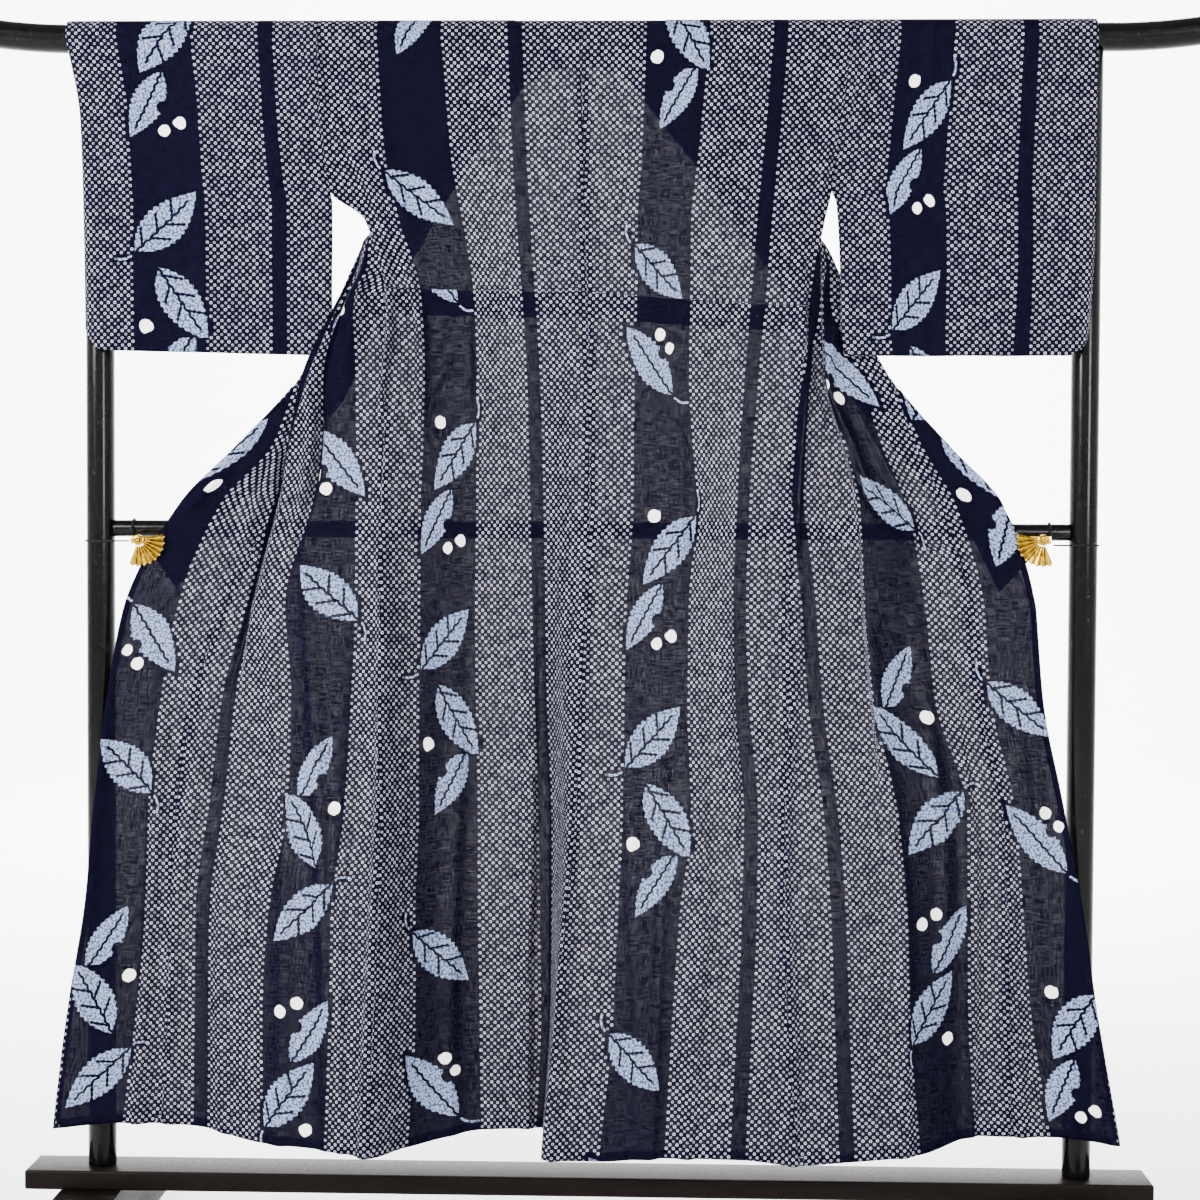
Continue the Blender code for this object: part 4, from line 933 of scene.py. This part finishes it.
def grid_of(columns, levels, over, follow=None):
    """Column numbers and g for rows from the hem to the rail and on over it. follow = (height, heights wanted
    at each column) bends the rows round that height so that one of them runs there."""
    low = glide(range(LAST + 1), HEM_HEIGHT, columns) / 1000
    rows = np.repeat(np.asarray(levels, float)[:, None], len(columns), axis=1)
    if follow:
        height, wanted = follow
        wanted = HEM + (wanted - low) * (RAIL_Z - HEM) / (RAIL_Z - low)
        rows = rows + (wanted - height) * np.clip(1 - np.abs(rows - height) / BENT_OVER, 0, 1)
    g = low + (rows - HEM) * (RAIL_Z - low) / (RAIL_Z - HEM) - RAIL_Z
    g = np.minimum(g, 0)
    g = np.concatenate([g, np.repeat(np.asarray(over, float)[:, None], len(columns), axis=1)])
    return np.broadcast_to(columns, g.shape), g


def arc(points, axis):
    """Distance along the grid from its first row or column."""
    steps = np.linalg.norm(np.diff(points[..., :3], axis=axis), axis=-1)
    return np.insert(np.cumsum(steps, axis=axis), 0, 0, axis=axis)


def across_bolt(points, columns, anchors, pleats=(), ways=0):
    """Metres across the bolt at every point of the rows: as given at the anchor columns, and by arc length
    between and beyond them. What a pleat hides is left out at its line, and isn't squeezed in beside it."""
    run = arc(points, 1)
    spots = {column: int(np.argmin(np.abs(columns - column))) for column in sorted(anchors)}
    where = list(spots.values())
    values = [anchors[column] for column in spots]
    ways = ways or (1 if values[1] > values[0] else -1)
    out = np.zeros(run.shape)
    for i in range(len(run)):
        known = run[i, where]
        out[i] = np.interp(run[i], known, values)
        out[i] += ways * (np.minimum(run[i] - known[0], 0) + np.maximum(run[i] - known[-1], 0))
    for first, last, line in pleats:
        part = slice(spots[first], spots[last] + 1)
        hidden = by_height(line, points[:, spots[first], 2])
        for i in range(len(run)):
            here = run[i, part] - run[i, part.start]
            fold = np.interp(hidden[i], points[i, part, 0], here)
            beyond = anchors[last] - ways * (here[-1] - here)
            kept = np.where(here < fold, anchors[first] + ways * here, beyond)
            spare = abs(anchors[last] - anchors[first]) / max(here[-1], 1e-6)
            out[i, part] += (kept - out[i, part]) * ease((spare - GATHER_FROM) / GATHER_OVER)
    return out


def behind(points):
    """Unit vectors out of the back of a grid whose rows go up and columns go right as seen."""
    normal = np.cross(np.gradient(points[..., :3], axis=0), np.gradient(points[..., :3], axis=1))
    return normal / np.maximum(np.linalg.norm(normal, axis=-1, keepdims=True), 1e-9)


def turned(grid, back, side, width=ALLOWANCE, gap=BEHIND, steps=4):
    """The grid and its back vectors, with the cloth beyond one side folded behind it."""
    if side in ("bottom", "top"):
        grid, back = grid.swapaxes(0, 1), back.swapaxes(0, 1)
    if side in ("right", "top"):
        grid, back = grid[:, ::-1], back[:, ::-1]
    run = arc(grid, 1)
    row = np.arange(len(grid))
    extra = []
    for away in np.linspace(width, gap, steps):
        i = np.clip((run < away).sum(axis=1), 1, grid.shape[1] - 1)
        t = np.clip((away - run[row, i - 1]) / np.maximum(run[row, i] - run[row, i - 1], 1e-9), 0, 1)[:, None]
        value = grid[row, i - 1] * (1 - t) + grid[row, i] * t
        value[:, :3] += back[row, i] * gap
        value[:, 3:] = 2 * grid[:, 0, 3:] - value[:, 3:]
        extra.append(value)
    grid = np.concatenate([np.stack(extra, axis=1), grid], axis=1)
    back = np.concatenate([-np.repeat(back[:, :1], steps, axis=1), back], axis=1)
    if side in ("right", "top"):
        grid, back = grid[:, ::-1], back[:, ::-1]
    if side in ("bottom", "top"):
        grid, back = grid.swapaxes(0, 1), back.swapaxes(0, 1)
    return grid, back


def hemmed(points, *places):
    """A hanging panel's points with their places on the bolt, its foot and both sides turned behind it."""
    grid = np.concatenate([points, *(each[..., None] for each in places)], axis=-1)
    grid, back = turned(grid, behind(points), "bottom", TURN_UP)
    for side in ("left", "right"):
        grid, back = turned(grid, back, side)
    return grid


def laid_through(points):
    """A bmesh grid laid through rows of points."""
    shape = bmesh.new()
    rows, columns = points.shape[:2]
    bmesh.ops.create_grid(shape, x_segments=columns - 1, y_segments=rows - 1, size=1.0)
    for vert, place in zip(shape.verts, points[..., :3].reshape(-1, 3).tolist()):
        vert.co = place
    return shape


def sheet_of(name, node_name, grid, cotton=single, seam_row=None, jump=0.0):
    """A grid of points with their places on the bolt, as a thin hung cloth. From seam_row up, the bolt is
    jump further on. A sixth number, where there is one, marks points between which it is cut out."""
    shape = laid_through(grid)
    shape.verts.index_update()
    layer = shape.loops.layers.uv.new("cloth")
    rows, columns = grid.shape[:2]
    bolt = grid[..., 3:5].reshape(-1, 2).tolist()
    absent = grid[..., 5].ravel() > 0.5 if grid.shape[2] > 5 else np.zeros(rows * columns, bool)
    out = []
    low, high = LEAF_STRIPE[0] - LEAF_REACH, LEAF_STRIPE[1] + LEAF_REACH
    for face in shape.faces:
        numbers = [vert.index for vert in face.verts]
        if all(absent[number] for number in numbers):
            out.append(face)
        further = jump if seam_row is not None and min(numbers) // columns >= seam_row else 0.0
        for loop in face.loops:
            u, v = bolt[loop.vert.index]
            loop[layer].uv = (u, v + further)
        middle = sum(bolt[number][0] for number in numbers) / len(numbers)
        face.material_index = 0 if low < middle < high else 1
    bmesh.ops.delete(shape, geom=out, context="FACES")
    piece = carried(add_piece(name, shape, cotton[0]), "cotton", node_name)
    piece.data.materials.append(cotton[1])
    wall = piece.modifiers.new("Cloth", "SOLIDIFY")
    wall.thickness = CLOTH
    wall.offset = 0
    return piece


# Heights of the rows from the hem to the rail, and then how far round the rail and down behind it.
LEVELS = np.linspace(HEM, RAIL_Z, 286)
OVER = np.concatenate([np.linspace(0, 1, 19)[1:], np.linspace(1, 2, 7)[1:], [2.15, 2.3, 2.42]])

for side, first, last in (("left", SEAM_L, SIDE_L), ("right", SIDE_R, SEAM_R)):
    columns = np.linspace(first, last, 89)
    column, g = grid_of(columns, LEVELS, OVER)
    points = front_surface(column, g)
    u_map = across_bolt(points, columns, ACROSS["front_" + side], GATHERS["front_" + side])
    grid = hemmed(points, u_map, unrolled(1, g) - FRONT_SHIFT[side])
    sheet_of(f"front_{side}_cloth", f"front_{side}", grid)

# --------------------------------------------------------------------------------------------- overlap panels
# A half-width strip sewn down the free side of each front, from the hem to its point under the collar. The
# sewn side keeps an allowance behind it, and the free edge and foot are hemmed.

OKUMI_TOP = 1.095
OKUMI_SHIFT = {"left": -0.61, "right": 0.69}  # where along the bolt it lies, the right one upside down
OKUMI_AREA = 0.130  # in square metres: its top is cut aslant

for side, first, last in (("left", 0, SEAM_L), ("right", SEAM_R, LAST)):
    columns = np.linspace(first, last, 49)
    column, g = grid_of(columns, LEVELS[LEVELS <= OKUMI_TOP], [])
    points = front_surface(column, g)
    ways = -1 if side == "left" else 1
    u_map = across_bolt(points, columns, ACROSS["okumi_" + side], ways=ways)
    grid = hemmed(points, u_map, OKUMI_SHIFT[side] - ways * (RAIL_Z + g))
    flat = (0.150, 0.98, OKUMI_AREA)
    sheet_of(f"okumi_{side}_cloth", f"okumi_{side}", grid)

# ----------------------------------------------------------------------------------------------------- collar
# One long band folded double along its free edge. It lies inside the neck, next to the rail, and runs down
# both fronts to the points of the overlaps, where the clips hold it.

COLLAR = {
    "left": (
        # seam x, seam height, free x, free height
        (-6, 1559, -6, 1504),
        (-60, 1553, -47, 1498),
        (-108, 1528, -82, 1479),
        (-142, 1492, -96, 1461),
        (-222, 1373, -174, 1346),
        (-268, 1310, -206, 1292),
        (-290, 1285, -213, 1278),
        (-305, 1250, -232, 1248),
        (-320, 1210, -265, 1193),
        (-368, 1110, -312, 1080),
        (-453, 1020, -412, 982),
        (-522, 950, -484, 912),
        (-566, 887, -530, 838),
    ),
    "right": (
        (-6, 1559, -6, 1504),
        (47, 1553, 35, 1493),
        (92, 1528, 58, 1472),
        (112, 1494, 70, 1457),
        (182, 1406, 137, 1373),
        (250, 1310, 199, 1285),
        (297, 1285, 212, 1266),
        (316, 1250, 232, 1238),
        (332, 1210, 262, 1195),
        (384, 1110, 343, 1074),
        (461, 1020, 420, 984),
        (525, 950, 484, 914),
        (562, 881, 523, 838),
    ),
}
BAND_BACK, BAND_BACK_FROM, BAND_BACK_OVER = 0.004, 1.36, 0.06  # extra room behind the fronts, below a height
BAND_PLIES, BAND_TURN = 0.0009, 0.001  # between its two plies, and how much shorter the hidden one is
BAND_FROM = 0.004  # as a share of its width, which the seam takes
COLLAR_ACROSS, COLLAR_ALONG = 0.196, 0.3  # where it lies on the bolt


def column_at(x, heights):
    """The column, whole or part, that passes x at this height."""
    xs = column_xs(heights)
    low, high = np.zeros(x.shape), np.full(x.shape, float(LAST))
    for _ in range(16):
        middle = (low + high) / 2
        less = glide(range(LAST + 1), xs, middle[:, None])[:, 0] < x
        low, high = np.where(less, middle, low), np.where(less, high, middle)
    return low


for side, side_column, seam_column in (("left", SIDE_L, SEAM_L), ("right", SIDE_R, SEAM_R)):
    rows = np.array(COLLAR[side], float).T / 1000
    along = np.linspace(0, rows.shape[1] - 1, 300)
    seam_x, seam_h, free_x, free_h = (glide(range(rows.shape[1]), row, along)[:, None] for row in rows)
    part = np.linspace(BAND_FROM, 1, 15)[None, :]
    x = seam_x + (free_x - seam_x) * part
    height = seam_h + (free_h - seam_h) * part
    column = column_at(x.ravel(), height.ravel()).reshape(x.shape)
    g = (height - RAIL_Z) / np.where(height > RAIL_Z, math.pi * (OUTER_R - 2 * LAYER), 1)
    y, z = over_rail(2, g, near(column, height))
    outward = (column - side_column) / (seam_column - side_column)
    push = np.maximum(1 - part, np.where(height < CROSSING, np.clip(outward, 0, 1), 0))
    twist = by_height(TWIST[side], height)
    push = np.where(height < CROSSING, np.maximum(twist * (1 - part), twist * push), twist * (1 - part))
    y = y + np.where(g <= 0, push + BAND_BACK * ease((BAND_BACK_FROM - height) / BAND_BACK_OVER), 0)
    points = finished(x, y, z, g)
    run = arc(points, 0)[:, :1] + 0 * x
    along_bolt = COLLAR_ALONG + run if side == "left" else COLLAR_ALONG - run
    grid = np.stack([*points.transpose(2, 0, 1), COLLAR_ACROSS + arc(points, 1), along_bolt], axis=-1)
    grid = grid[::-1] if side == "left" else grid[::-1, ::-1]
    free = "right" if side == "left" else "left"
    width = float(arc(grid, 1)[:, -1].min()) - BAND_TURN
    grid, back = turned(grid, behind(grid), free, width, BAND_PLIES, 12)
    sheet_of(f"collar_{side}_band", f"collar_{side}", grid, double)

# ------------------------------------------------------------------------------------------------ waist tucks
# The length taken up inside each back at the waist: a pleat that hangs from its seam, behind the back.

TUCK_TOP = {"left": (1.2215, 1.2175), "right": (1.2165, 1.197)}
TUCK_DEPTH, TUCK_TURN, TUCK_PLIES = 0.033, 0.031, 0.0006  # both plies, and how far apart they lie
TUCK_LAYER = 1.2  # behind the backs
TUCK_SHIFT = {"left": 1.336, "right": 1.242}  # where along the bolt it lies


def tuck_top(side, columns):
    first, last = (SIDE_L, CENTRE) if side == "left" else (CENTRE, SIDE_R)
    return np.interp(columns, (first, last), TUCK_TOP[side])


def back_surface(column, g, layer=0.0):
    heights = RAIL_Z + np.minimum(g, 0)
    column = np.where(heights > CROSSING, np.clip(column, SIDE_L, SIDE_R), column)
    y, z = over_rail(layer, g, near(column, heights))
    return finished(x_at(column, heights), y, z, g)


for side, first, last in (("left", SIDE_L, CENTRE), ("right", CENTRE, SIDE_R)):
    columns = np.linspace(first, last, 73)
    depth = np.linspace(TUCK_DEPTH, TUCK_PLIES, 9)[:, None]
    heights = tuck_top(side, columns)[None, :] - depth
    column = np.broadcast_to(columns, heights.shape)
    points = back_surface(column, heights - RAIL_Z, TUCK_LAYER)
    u_map = across_bolt(points, columns, ACROSS["back_" + side])
    grid = np.concatenate([points, u_map[..., None], (TUCK_SHIFT[side] - heights)[..., None]], axis=-1)
    grid, back = turned(grid, behind(points), "bottom", TUCK_TURN, TUCK_PLIES, 8)
    sheet_of(
        f"waist_tuck_{side}_cloth", f"waist_tuck_{side}", grid, double
    )

# ---------------------------------------------------------------------------------------------------- sleeves
# Each is one width of cloth folded at the shoulder into a deep bag: sewn along its foot with a rounded corner
# at the cuff, sewn to the body above the armhole, and open and hemmed below it and at the cuff.

SLEEVE = {
    # {height: x} of the cuff and of the side by the body, and the foot's height at the cuff and at that side
    "left": {
        "cuff": {1.543: -670, 1.435: -651, 1.27: -646, 1.14: -645},
        "arm": {1.345: -331, 1.33: -328.5, 1.14: -328},
        "bottom": (1.143, 1.136),
    },
    "right": {
        "cuff": {1.543: 639, 1.43: 638, 1.28: 637, 1.20: 634, 1.14: 629},
        "arm": {1.345: 306, 1.33: 312, 1.25: 317, 1.17: 319, 1.14: 323},
        "bottom": (1.138, 1.137),
    },
}
SLEEVE_NEAR = (1, 4, 0, 6, 1, 3, 0)  # folds at the foot from the cuff to the body, in millimetres
SLEEVE_CORNER, SLEEVE_CORNER_PART = 0.028, 0.12  # the rounded corner, and the share of the width it lies in
ARMHOLE = 1.345
SLEEVE_SHIFT = {"left": 1.941, "right": 1.843}  # where along the bolt it lies
SLEEVE_STRIPES = {
    # {part of the width from the left: metres across the bolt}
    "left": {0.20: 0.077, 0.497: 0.166, 0.79: 0.258},
    "right": {0.193: 0.077, 0.422: 0.166, 0.725: 0.258},
}
SLEEVE_BEHIND = 0.0005  # how far behind it its seam allowances lie
FOLD_RUN, FOLD_GAP = 0.00035, 0.002  # the cloth that the shoulder fold takes up, for each radian and in all

for side in ("left", "right"):
    table = SLEEVE[side]
    corner = np.linspace(0, SLEEVE_CORNER_PART, 15)
    part = np.concatenate([corner, np.linspace(SLEEVE_CORNER_PART, 1, 59)[1:]])[None, :]
    width = abs(by_height(table["arm"], 1.2) - by_height(table["cuff"], 1.2))
    short = np.maximum(SLEEVE_CORNER - part * width, 0)
    foot = table["bottom"][0] + (table["bottom"][1] - table["bottom"][0]) * part
    foot = foot + SLEEVE_CORNER - np.sqrt(SLEEVE_CORNER**2 - short**2)
    hang = np.linspace(0, 1, 84)[:, None]
    over = np.concatenate([np.linspace(0, 1, 17)[1:], np.linspace(1, 2, 7)[1:]])[:, None] + 0 * part
    halves = []
    for layer in (0, 1):
        height = foot + (RAIL_Z - foot) * hang
        g = np.concatenate([height - RAIL_Z, over])
        level = RAIL_Z + np.minimum(g, 0)
        fold = glide(range(len(SLEEVE_NEAR)), SLEEVE_NEAR, part * (len(SLEEVE_NEAR) - 1)) / 1000
        y, z = over_rail(layer, g, fold * (RAIL_Z - level) / (RAIL_Z - foot))
        cuff = by_height(table["cuff"], level)
        sewn = column_xs(level)[..., SIDE_L if side == "left" else SIDE_R]
        arm = np.where(level > ARMHOLE, sewn, by_height(table["arm"], level))
        points = finished(cuff + (arm - cuff) * part, y, z, g)
        halves.append((points, unrolled(layer, g)))
    # The front half joins the back half under the flap's lower edge.
    (outer, outer_along), (inner, inner_along) = halves
    angle = np.linspace(0, math.pi, 7)[1:-1][:, None]
    fold_y = OUTER_R - LAYER / 2 * (1 - np.cos(angle)) + 0 * part
    fold_z = outer[-1, :, 2] - LAYER / 2 * np.sin(angle)
    fold = np.stack([outer[-1, :, 0] + 0 * fold_y, fold_y, fold_z], axis=-1)
    points = np.concatenate([outer, fold, inner[::-1]])
    top = outer_along[-1:]
    fold_along = top + FOLD_RUN * angle
    along = np.concatenate([outer_along, fold_along, 2 * top + FOLD_GAP - inner_along[::-1]])
    v_map = SLEEVE_SHIFT[side] - along
    if side == "right":
        points, v_map = points[:, ::-1], v_map[:, ::-1]
    parts = part[0] if side == "left" else 1 - part[0, ::-1]
    u_map = across_bolt(points, parts, SLEEVE_STRIPES[side])
    grid = np.concatenate([points, u_map[..., None], v_map[..., None]], axis=-1)
    back = behind(points)
    for edge in ("bottom", "top", "left", "right"):
        grid, back = turned(grid, back, edge, gap=SLEEVE_BEHIND)
    sheet_of(f"sleeve_{side}_cloth", f"sleeve_{side}", grid, double)

# ------------------------------------------------------------------------------------------------ back panels
# The outermost layer: two widths of cloth joined down the middle of the back, which go over the rail to the
# shoulder fold behind it and stop at the neck. Each has a seam across the waist, over its tuck.

NECK_L, NECK_R, NECK_TURN = 9, 11 + 1 / 3, 1 / 3  # columns, and how far round the rail's top the neck lies
WAIST_DIP, WAIST_ROWS = 0.0007, 4  # how deep the seam across the waist lies, and the hem's rows below it
BACK_SHIFT = {"left": 1.411, "right": 1.293}  # where along the bolt it lies
WAIST_JUMP = {"left": -0.075, "right": -0.051}  # by how much the pattern is off above that seam

for side, first, last in (("left", SIDE_L, CENTRE), ("right", CENTRE, SIDE_R)):
    columns = np.linspace(first, last, 105)
    tops = tuck_top(side, columns)
    seam_row = int(np.argmin(np.abs(LEVELS - tops.mean())))
    column, g = grid_of(columns, LEVELS, OVER, (LEVELS[seam_row], tops))
    points = back_surface(column, g)
    points[seam_row, :, 1] += WAIST_DIP
    u_map = across_bolt(points, columns, ACROSS["back_" + side])
    neck = (g >= NECK_TURN - 1e-6) & (column >= NECK_L - 1e-6) & (column <= NECK_R + 1e-6)
    grid = hemmed(points, u_map, BACK_SHIFT[side] - unrolled(0, g), neck)
    seam_row += WAIST_ROWS
    flat, jump = (0.345, 1.56), WAIST_JUMP[side]
    sheet_of(
        f"back_{side}_cloth", f"back_{side}", grid, seam_row=seam_row, jump=jump
    )

# ------------------------------------------------------------------------------------------------------ clips
# A small gilt fan, pressed and pleated, hides each spring clip: a block beside the cloth's corner and a
# tongue behind it. A ball-headed rivet holds the fan at its pivot.

FAN_R, FAN_HUB, FAN_WALL = 0.033, 0.008, 0.0008
PLEATS, PLEAT, PLEAT_STEPS, PLEAT_SHARP = 9, 0.0012, 16, 0.97
PLEAT_AT_HUB = 0.3  # the share of a pleat's depth that is left there
SCALLOP = 0.0012  # how far its rim runs out and in at the pleats
FANS = {"left": (-112, 14), "right": (166, 292)}  # angles of the first and the last rib
FAN_CLEAR = 0.0045  # in front of the middle of the cloth
WASHER = ((0.0, 0.0022), (0.0066, 0.0022), (0.0072, 0.0028), (0.0066, 0.0036), (0.0036, 0.0040))
BALL_R, BALL_OUT, RIVET_SUNK = 0.0034, 0.0062, 0.0012
BALL_ANGLES = range(-40, 91, 10)  # from its foot on the washer to its tip
JAW_HALF, TONGUE, JAW_BLOCK, JAW_WALL, JAW_EDGE = 0.005, 0.018, 0.011, 0.001, 0.0005
JAW_FRONT, JAW_BACK, TONGUE_BACK = 0.0022, 0.0100, 0.0085  # before and behind the middle of the cloth

# Gilt brass: bright where handling has rubbed its edges, and a little duller and browner between them.
gilt, tree = new_material("polished gilt brass")
place = node(tree, "TexCoord", outputs="Object")
wear = node(tree, "TexNoise", {"Vector": place, "Scale": 160.0, "Detail": 6.0})
brushed = node(tree, "TexNoise", {"Vector": place, "Scale": 1400.0, "Detail": 2.0})
edges = node(tree, "NewGeometry", outputs="Pointiness")
rubbed = node(tree, "MapRange", [edges, 0.52, 0.60], interpolation_type="SMOOTHSTEP")
worn = node(tree, "MapRange", [wear, 0.3, 0.7], interpolation_type="SMOOTHSTEP")
tone = {0: worn, 6: linear("#7a5a0c"), 7: linear("#a98722")}
tone = {0: rubbed, 6: node(tree, "Mix", tone, 2, data_type="RGBA"), 7: linear("#d2b050")}
coat = {
    "Base Color": node(tree, "Mix", tone, 2, data_type="RGBA"),
    "Metallic": 1.0,
    "Roughness": node(tree, "MapRange", [wear, 0.3, 0.8, 0.17, 0.34], interpolation_type="SMOOTHSTEP"),
    "Normal": node(tree, "Bump", {"Height": brushed, "Strength": 0.12, "Distance": 0.0003}),
}
node(tree, "OutputMaterial", {"Surface": node(tree, "BsdfPrincipled", coat)})

middles = {}
for side, (x, z) in zip(("left", "right"), CLIPS):
    outer_column = 0.0 if side == "left" else float(LAST)
    middles[side] = float(front_surface(np.array([[outer_column]]), np.array([[z - RAIL_Z]]))[0, 0, 1])
    angle = np.radians(np.linspace(*FANS[side], PLEATS * PLEAT_STEPS + 1))[None, :]
    phase = np.linspace(0, PLEATS * math.tau, PLEATS * PLEAT_STEPS + 1)[None, :]
    reach = np.linspace(FAN_HUB, FAN_R, 16)[:, None]
    wave = np.arcsin(PLEAT_SHARP * -np.cos(phase)) / math.asin(PLEAT_SHARP)
    rise = PLEAT * (PLEAT_AT_HUB + (1 - PLEAT_AT_HUB) * reach / FAN_R) * wave
    edge = reach + SCALLOP * wave * (reach / FAN_R) ** 6
    front = middles[side] - FAN_CLEAR
    points = np.stack([x + edge * np.cos(angle), front - rise, z + edge * np.sin(angle)], axis=-1)
    shape = laid_through(points)
    bmesh.ops.recalc_face_normals(shape, faces=shape.faces)
    fan = carried(add_piece(f"clip_fan_{side}_pleated", shape, gilt), "gilt", f"clip_fan_{side}")
    wall = fan.modifiers.new("Metal", "SOLIDIFY")
    wall.thickness = FAN_WALL
    wall.offset = 0

    # The rivet: a washer with a ball on it, turned about the pivot.
    outline = list(WASHER)
    for a in BALL_ANGLES:
        turn = math.radians(a)
        outline.append((BALL_R * math.cos(turn), BALL_OUT + BALL_R * math.sin(turn)))
    shape = bmesh.new()
    line = [shape.verts.new((x + r, front + RIVET_SUNK - out, z)) for r, out in outline]
    run = [shape.edges.new(pair) for pair in zip(line, line[1:])]
    pivot = (x, middles[side], z)
    bmesh.ops.spin(
        shape, geom=line + run, cent=pivot, axis=(0, 1, 0), angle=math.tau, steps=40, use_merge=True
    )
    bmesh.ops.remove_doubles(shape, verts=shape.verts, dist=1e-6)
    bmesh.ops.recalc_face_normals(shape, faces=shape.faces)
    carried(add_piece(f"clip_rivet_{side}", shape, gilt), "gilt")

    # The spring clip: its tongue runs inward, behind the cloth.
    inward = 1 if side == "left" else -1
    outline = (
        (-JAW_BLOCK, -JAW_FRONT),
        (-JAW_WALL, -JAW_FRONT),
        (-JAW_WALL, TONGUE_BACK),
        (TONGUE, TONGUE_BACK),
        (TONGUE, JAW_BACK),
        (-JAW_BLOCK, JAW_BACK),
    )
    shape = bmesh.new()
    low = [(x + inward * a, middles[side] + b, z - JAW_HALF) for a, b in outline]
    drawn_out(shape, low, (0, 0, 2 * JAW_HALF))
    bmesh.ops.recalc_face_normals(shape, faces=shape.faces)
    softened(shape, list(shape.edges), JAW_EDGE, 3)
    jaw = carried(add_piece(f"clip_jaw_{side}_bent", shape, gilt), "gilt", f"clip_jaw_{side}")
    jaw.data.set_sharp_from_angle(angle=math.radians(50))

# ---------------------------------------------------------------------------------------------- elastic loops
# Two thin loops of elastic with a braided cover tie each clip to the stand: one round the post, and one over
# the crossbar.

ELASTIC_R = 0.0011
ROUND_STEPS, LEG_STEPS = 60, 12
PINCH = 0.0012  # half the gap between a loop's two ends at the clip
BESIDE_JAW, UNDER_BAR, TIP_BACK, TIP_DOWN = 0.0016, 0.0045, 0.004, 0.008

# A braided cotton cover: dull black, with slanting threads about a third of a millimetre wide.
covered, tree = new_material("black covered elastic")
place = node(tree, "TexCoord", outputs="Object")
threads = {"Vector": place, "Scale": 620.0, "Distortion": 1.5}
braid = node(tree, "TexWave", threads, bands_direction="DIAGONAL")
tone = {0: braid, 6: linear("#0a090b"), 7: linear("#1c1b1d")}
coat = {
    "Base Color": node(tree, "Mix", tone, 2, data_type="RGBA"),
    "Roughness": 0.75,
    "Specular IOR Level": 0.08,
    "Normal": node(tree, "Bump", {"Height": braid, "Strength": 0.5, "Distance": 0.0002}),
}
node(tree, "OutputMaterial", {"Surface": node(tree, "BsdfPrincipled", coat)})


def loop_round(bar, tip):
    """2D points of a loop drawn tight round a bar at the origin, and out to the point tip."""
    towards = math.atan2(tip[1], tip[0])
    open_angle = math.acos(bar / math.hypot(*tip))
    turn = math.tau - 2 * open_angle
    angles = [towards + open_angle + turn * i / ROUND_STEPS for i in range(ROUND_STEPS + 1)]
    spots = [(bar * math.cos(a), bar * math.sin(a)) for a in angles]
    aside_x, aside_y = math.sin(towards) * PINCH, -math.cos(towards) * PINCH
    ends = (tip[0] + aside_x, tip[1] + aside_y), (tip[0] - aside_x, tip[1] - aside_y)
    for start, end in ((spots[-1], ends[0]), (ends[1], spots[0])):
        for k in range(1, LEG_STEPS):
            spots.append(tuple(a + (b - a) * k / LEG_STEPS for a, b in zip(start, end)))
    return spots


def cord_loop(name, points, axis):
    """A closed round cord along points that lie in the plane square to the axis."""
    points = np.array(points + points[:1])
    way = np.roll(points[:-1], -1, axis=0) - np.roll(points[:-1], 1, axis=0)
    way = np.concatenate([way, way[:1]])
    way /= np.linalg.norm(way, axis=1, keepdims=True)
    out = np.cross(way, axis)
    angle = np.linspace(0, math.tau, 17)[None, :, None]
    grid = points[:, None] + ELASTIC_R * (out[:, None] * np.cos(angle) + np.array(axis) * np.sin(angle))
    shape = laid_through(grid)
    bmesh.ops.remove_doubles(shape, verts=shape.verts, dist=1e-6)
    bmesh.ops.recalc_face_normals(shape, faces=shape.faces)
    return carried(add_piece(name + "_cord", shape, covered), "elastic", name)


for side, (x, z) in zip(("left", "right"), CLIPS):
    sign = -1 if side == "left" else 1
    across = x + sign * (JAW_BLOCK + NEST + ELASTIC_R)
    low = CROSSBAR_Z - CROSSBAR_R - ELASTIC_R - UNDER_BAR
    tip = (across + sign * BESIDE_JAW - sign * POST_X, middles[side] + TIP_BACK)
    level_loop = loop_round(POST_R + ELASTIC_R + NEST, tip)
    cord_loop(f"elastic_post_{side}", [(sign * POST_X + a, b, low) for a, b in level_loop], (0, 0, 1))
    upright_loop = loop_round(CROSSBAR_R + ELASTIC_R + NEST, (tip[1], -TIP_DOWN))
    cord_loop(f"elastic_bar_{side}", [(across, b, CROSSBAR_Z + c) for b, c in upright_loop], (1, 0, 0))

# ------------------------------------------------------------------------------------------------------ last update
bpy.context.view_layer.update()
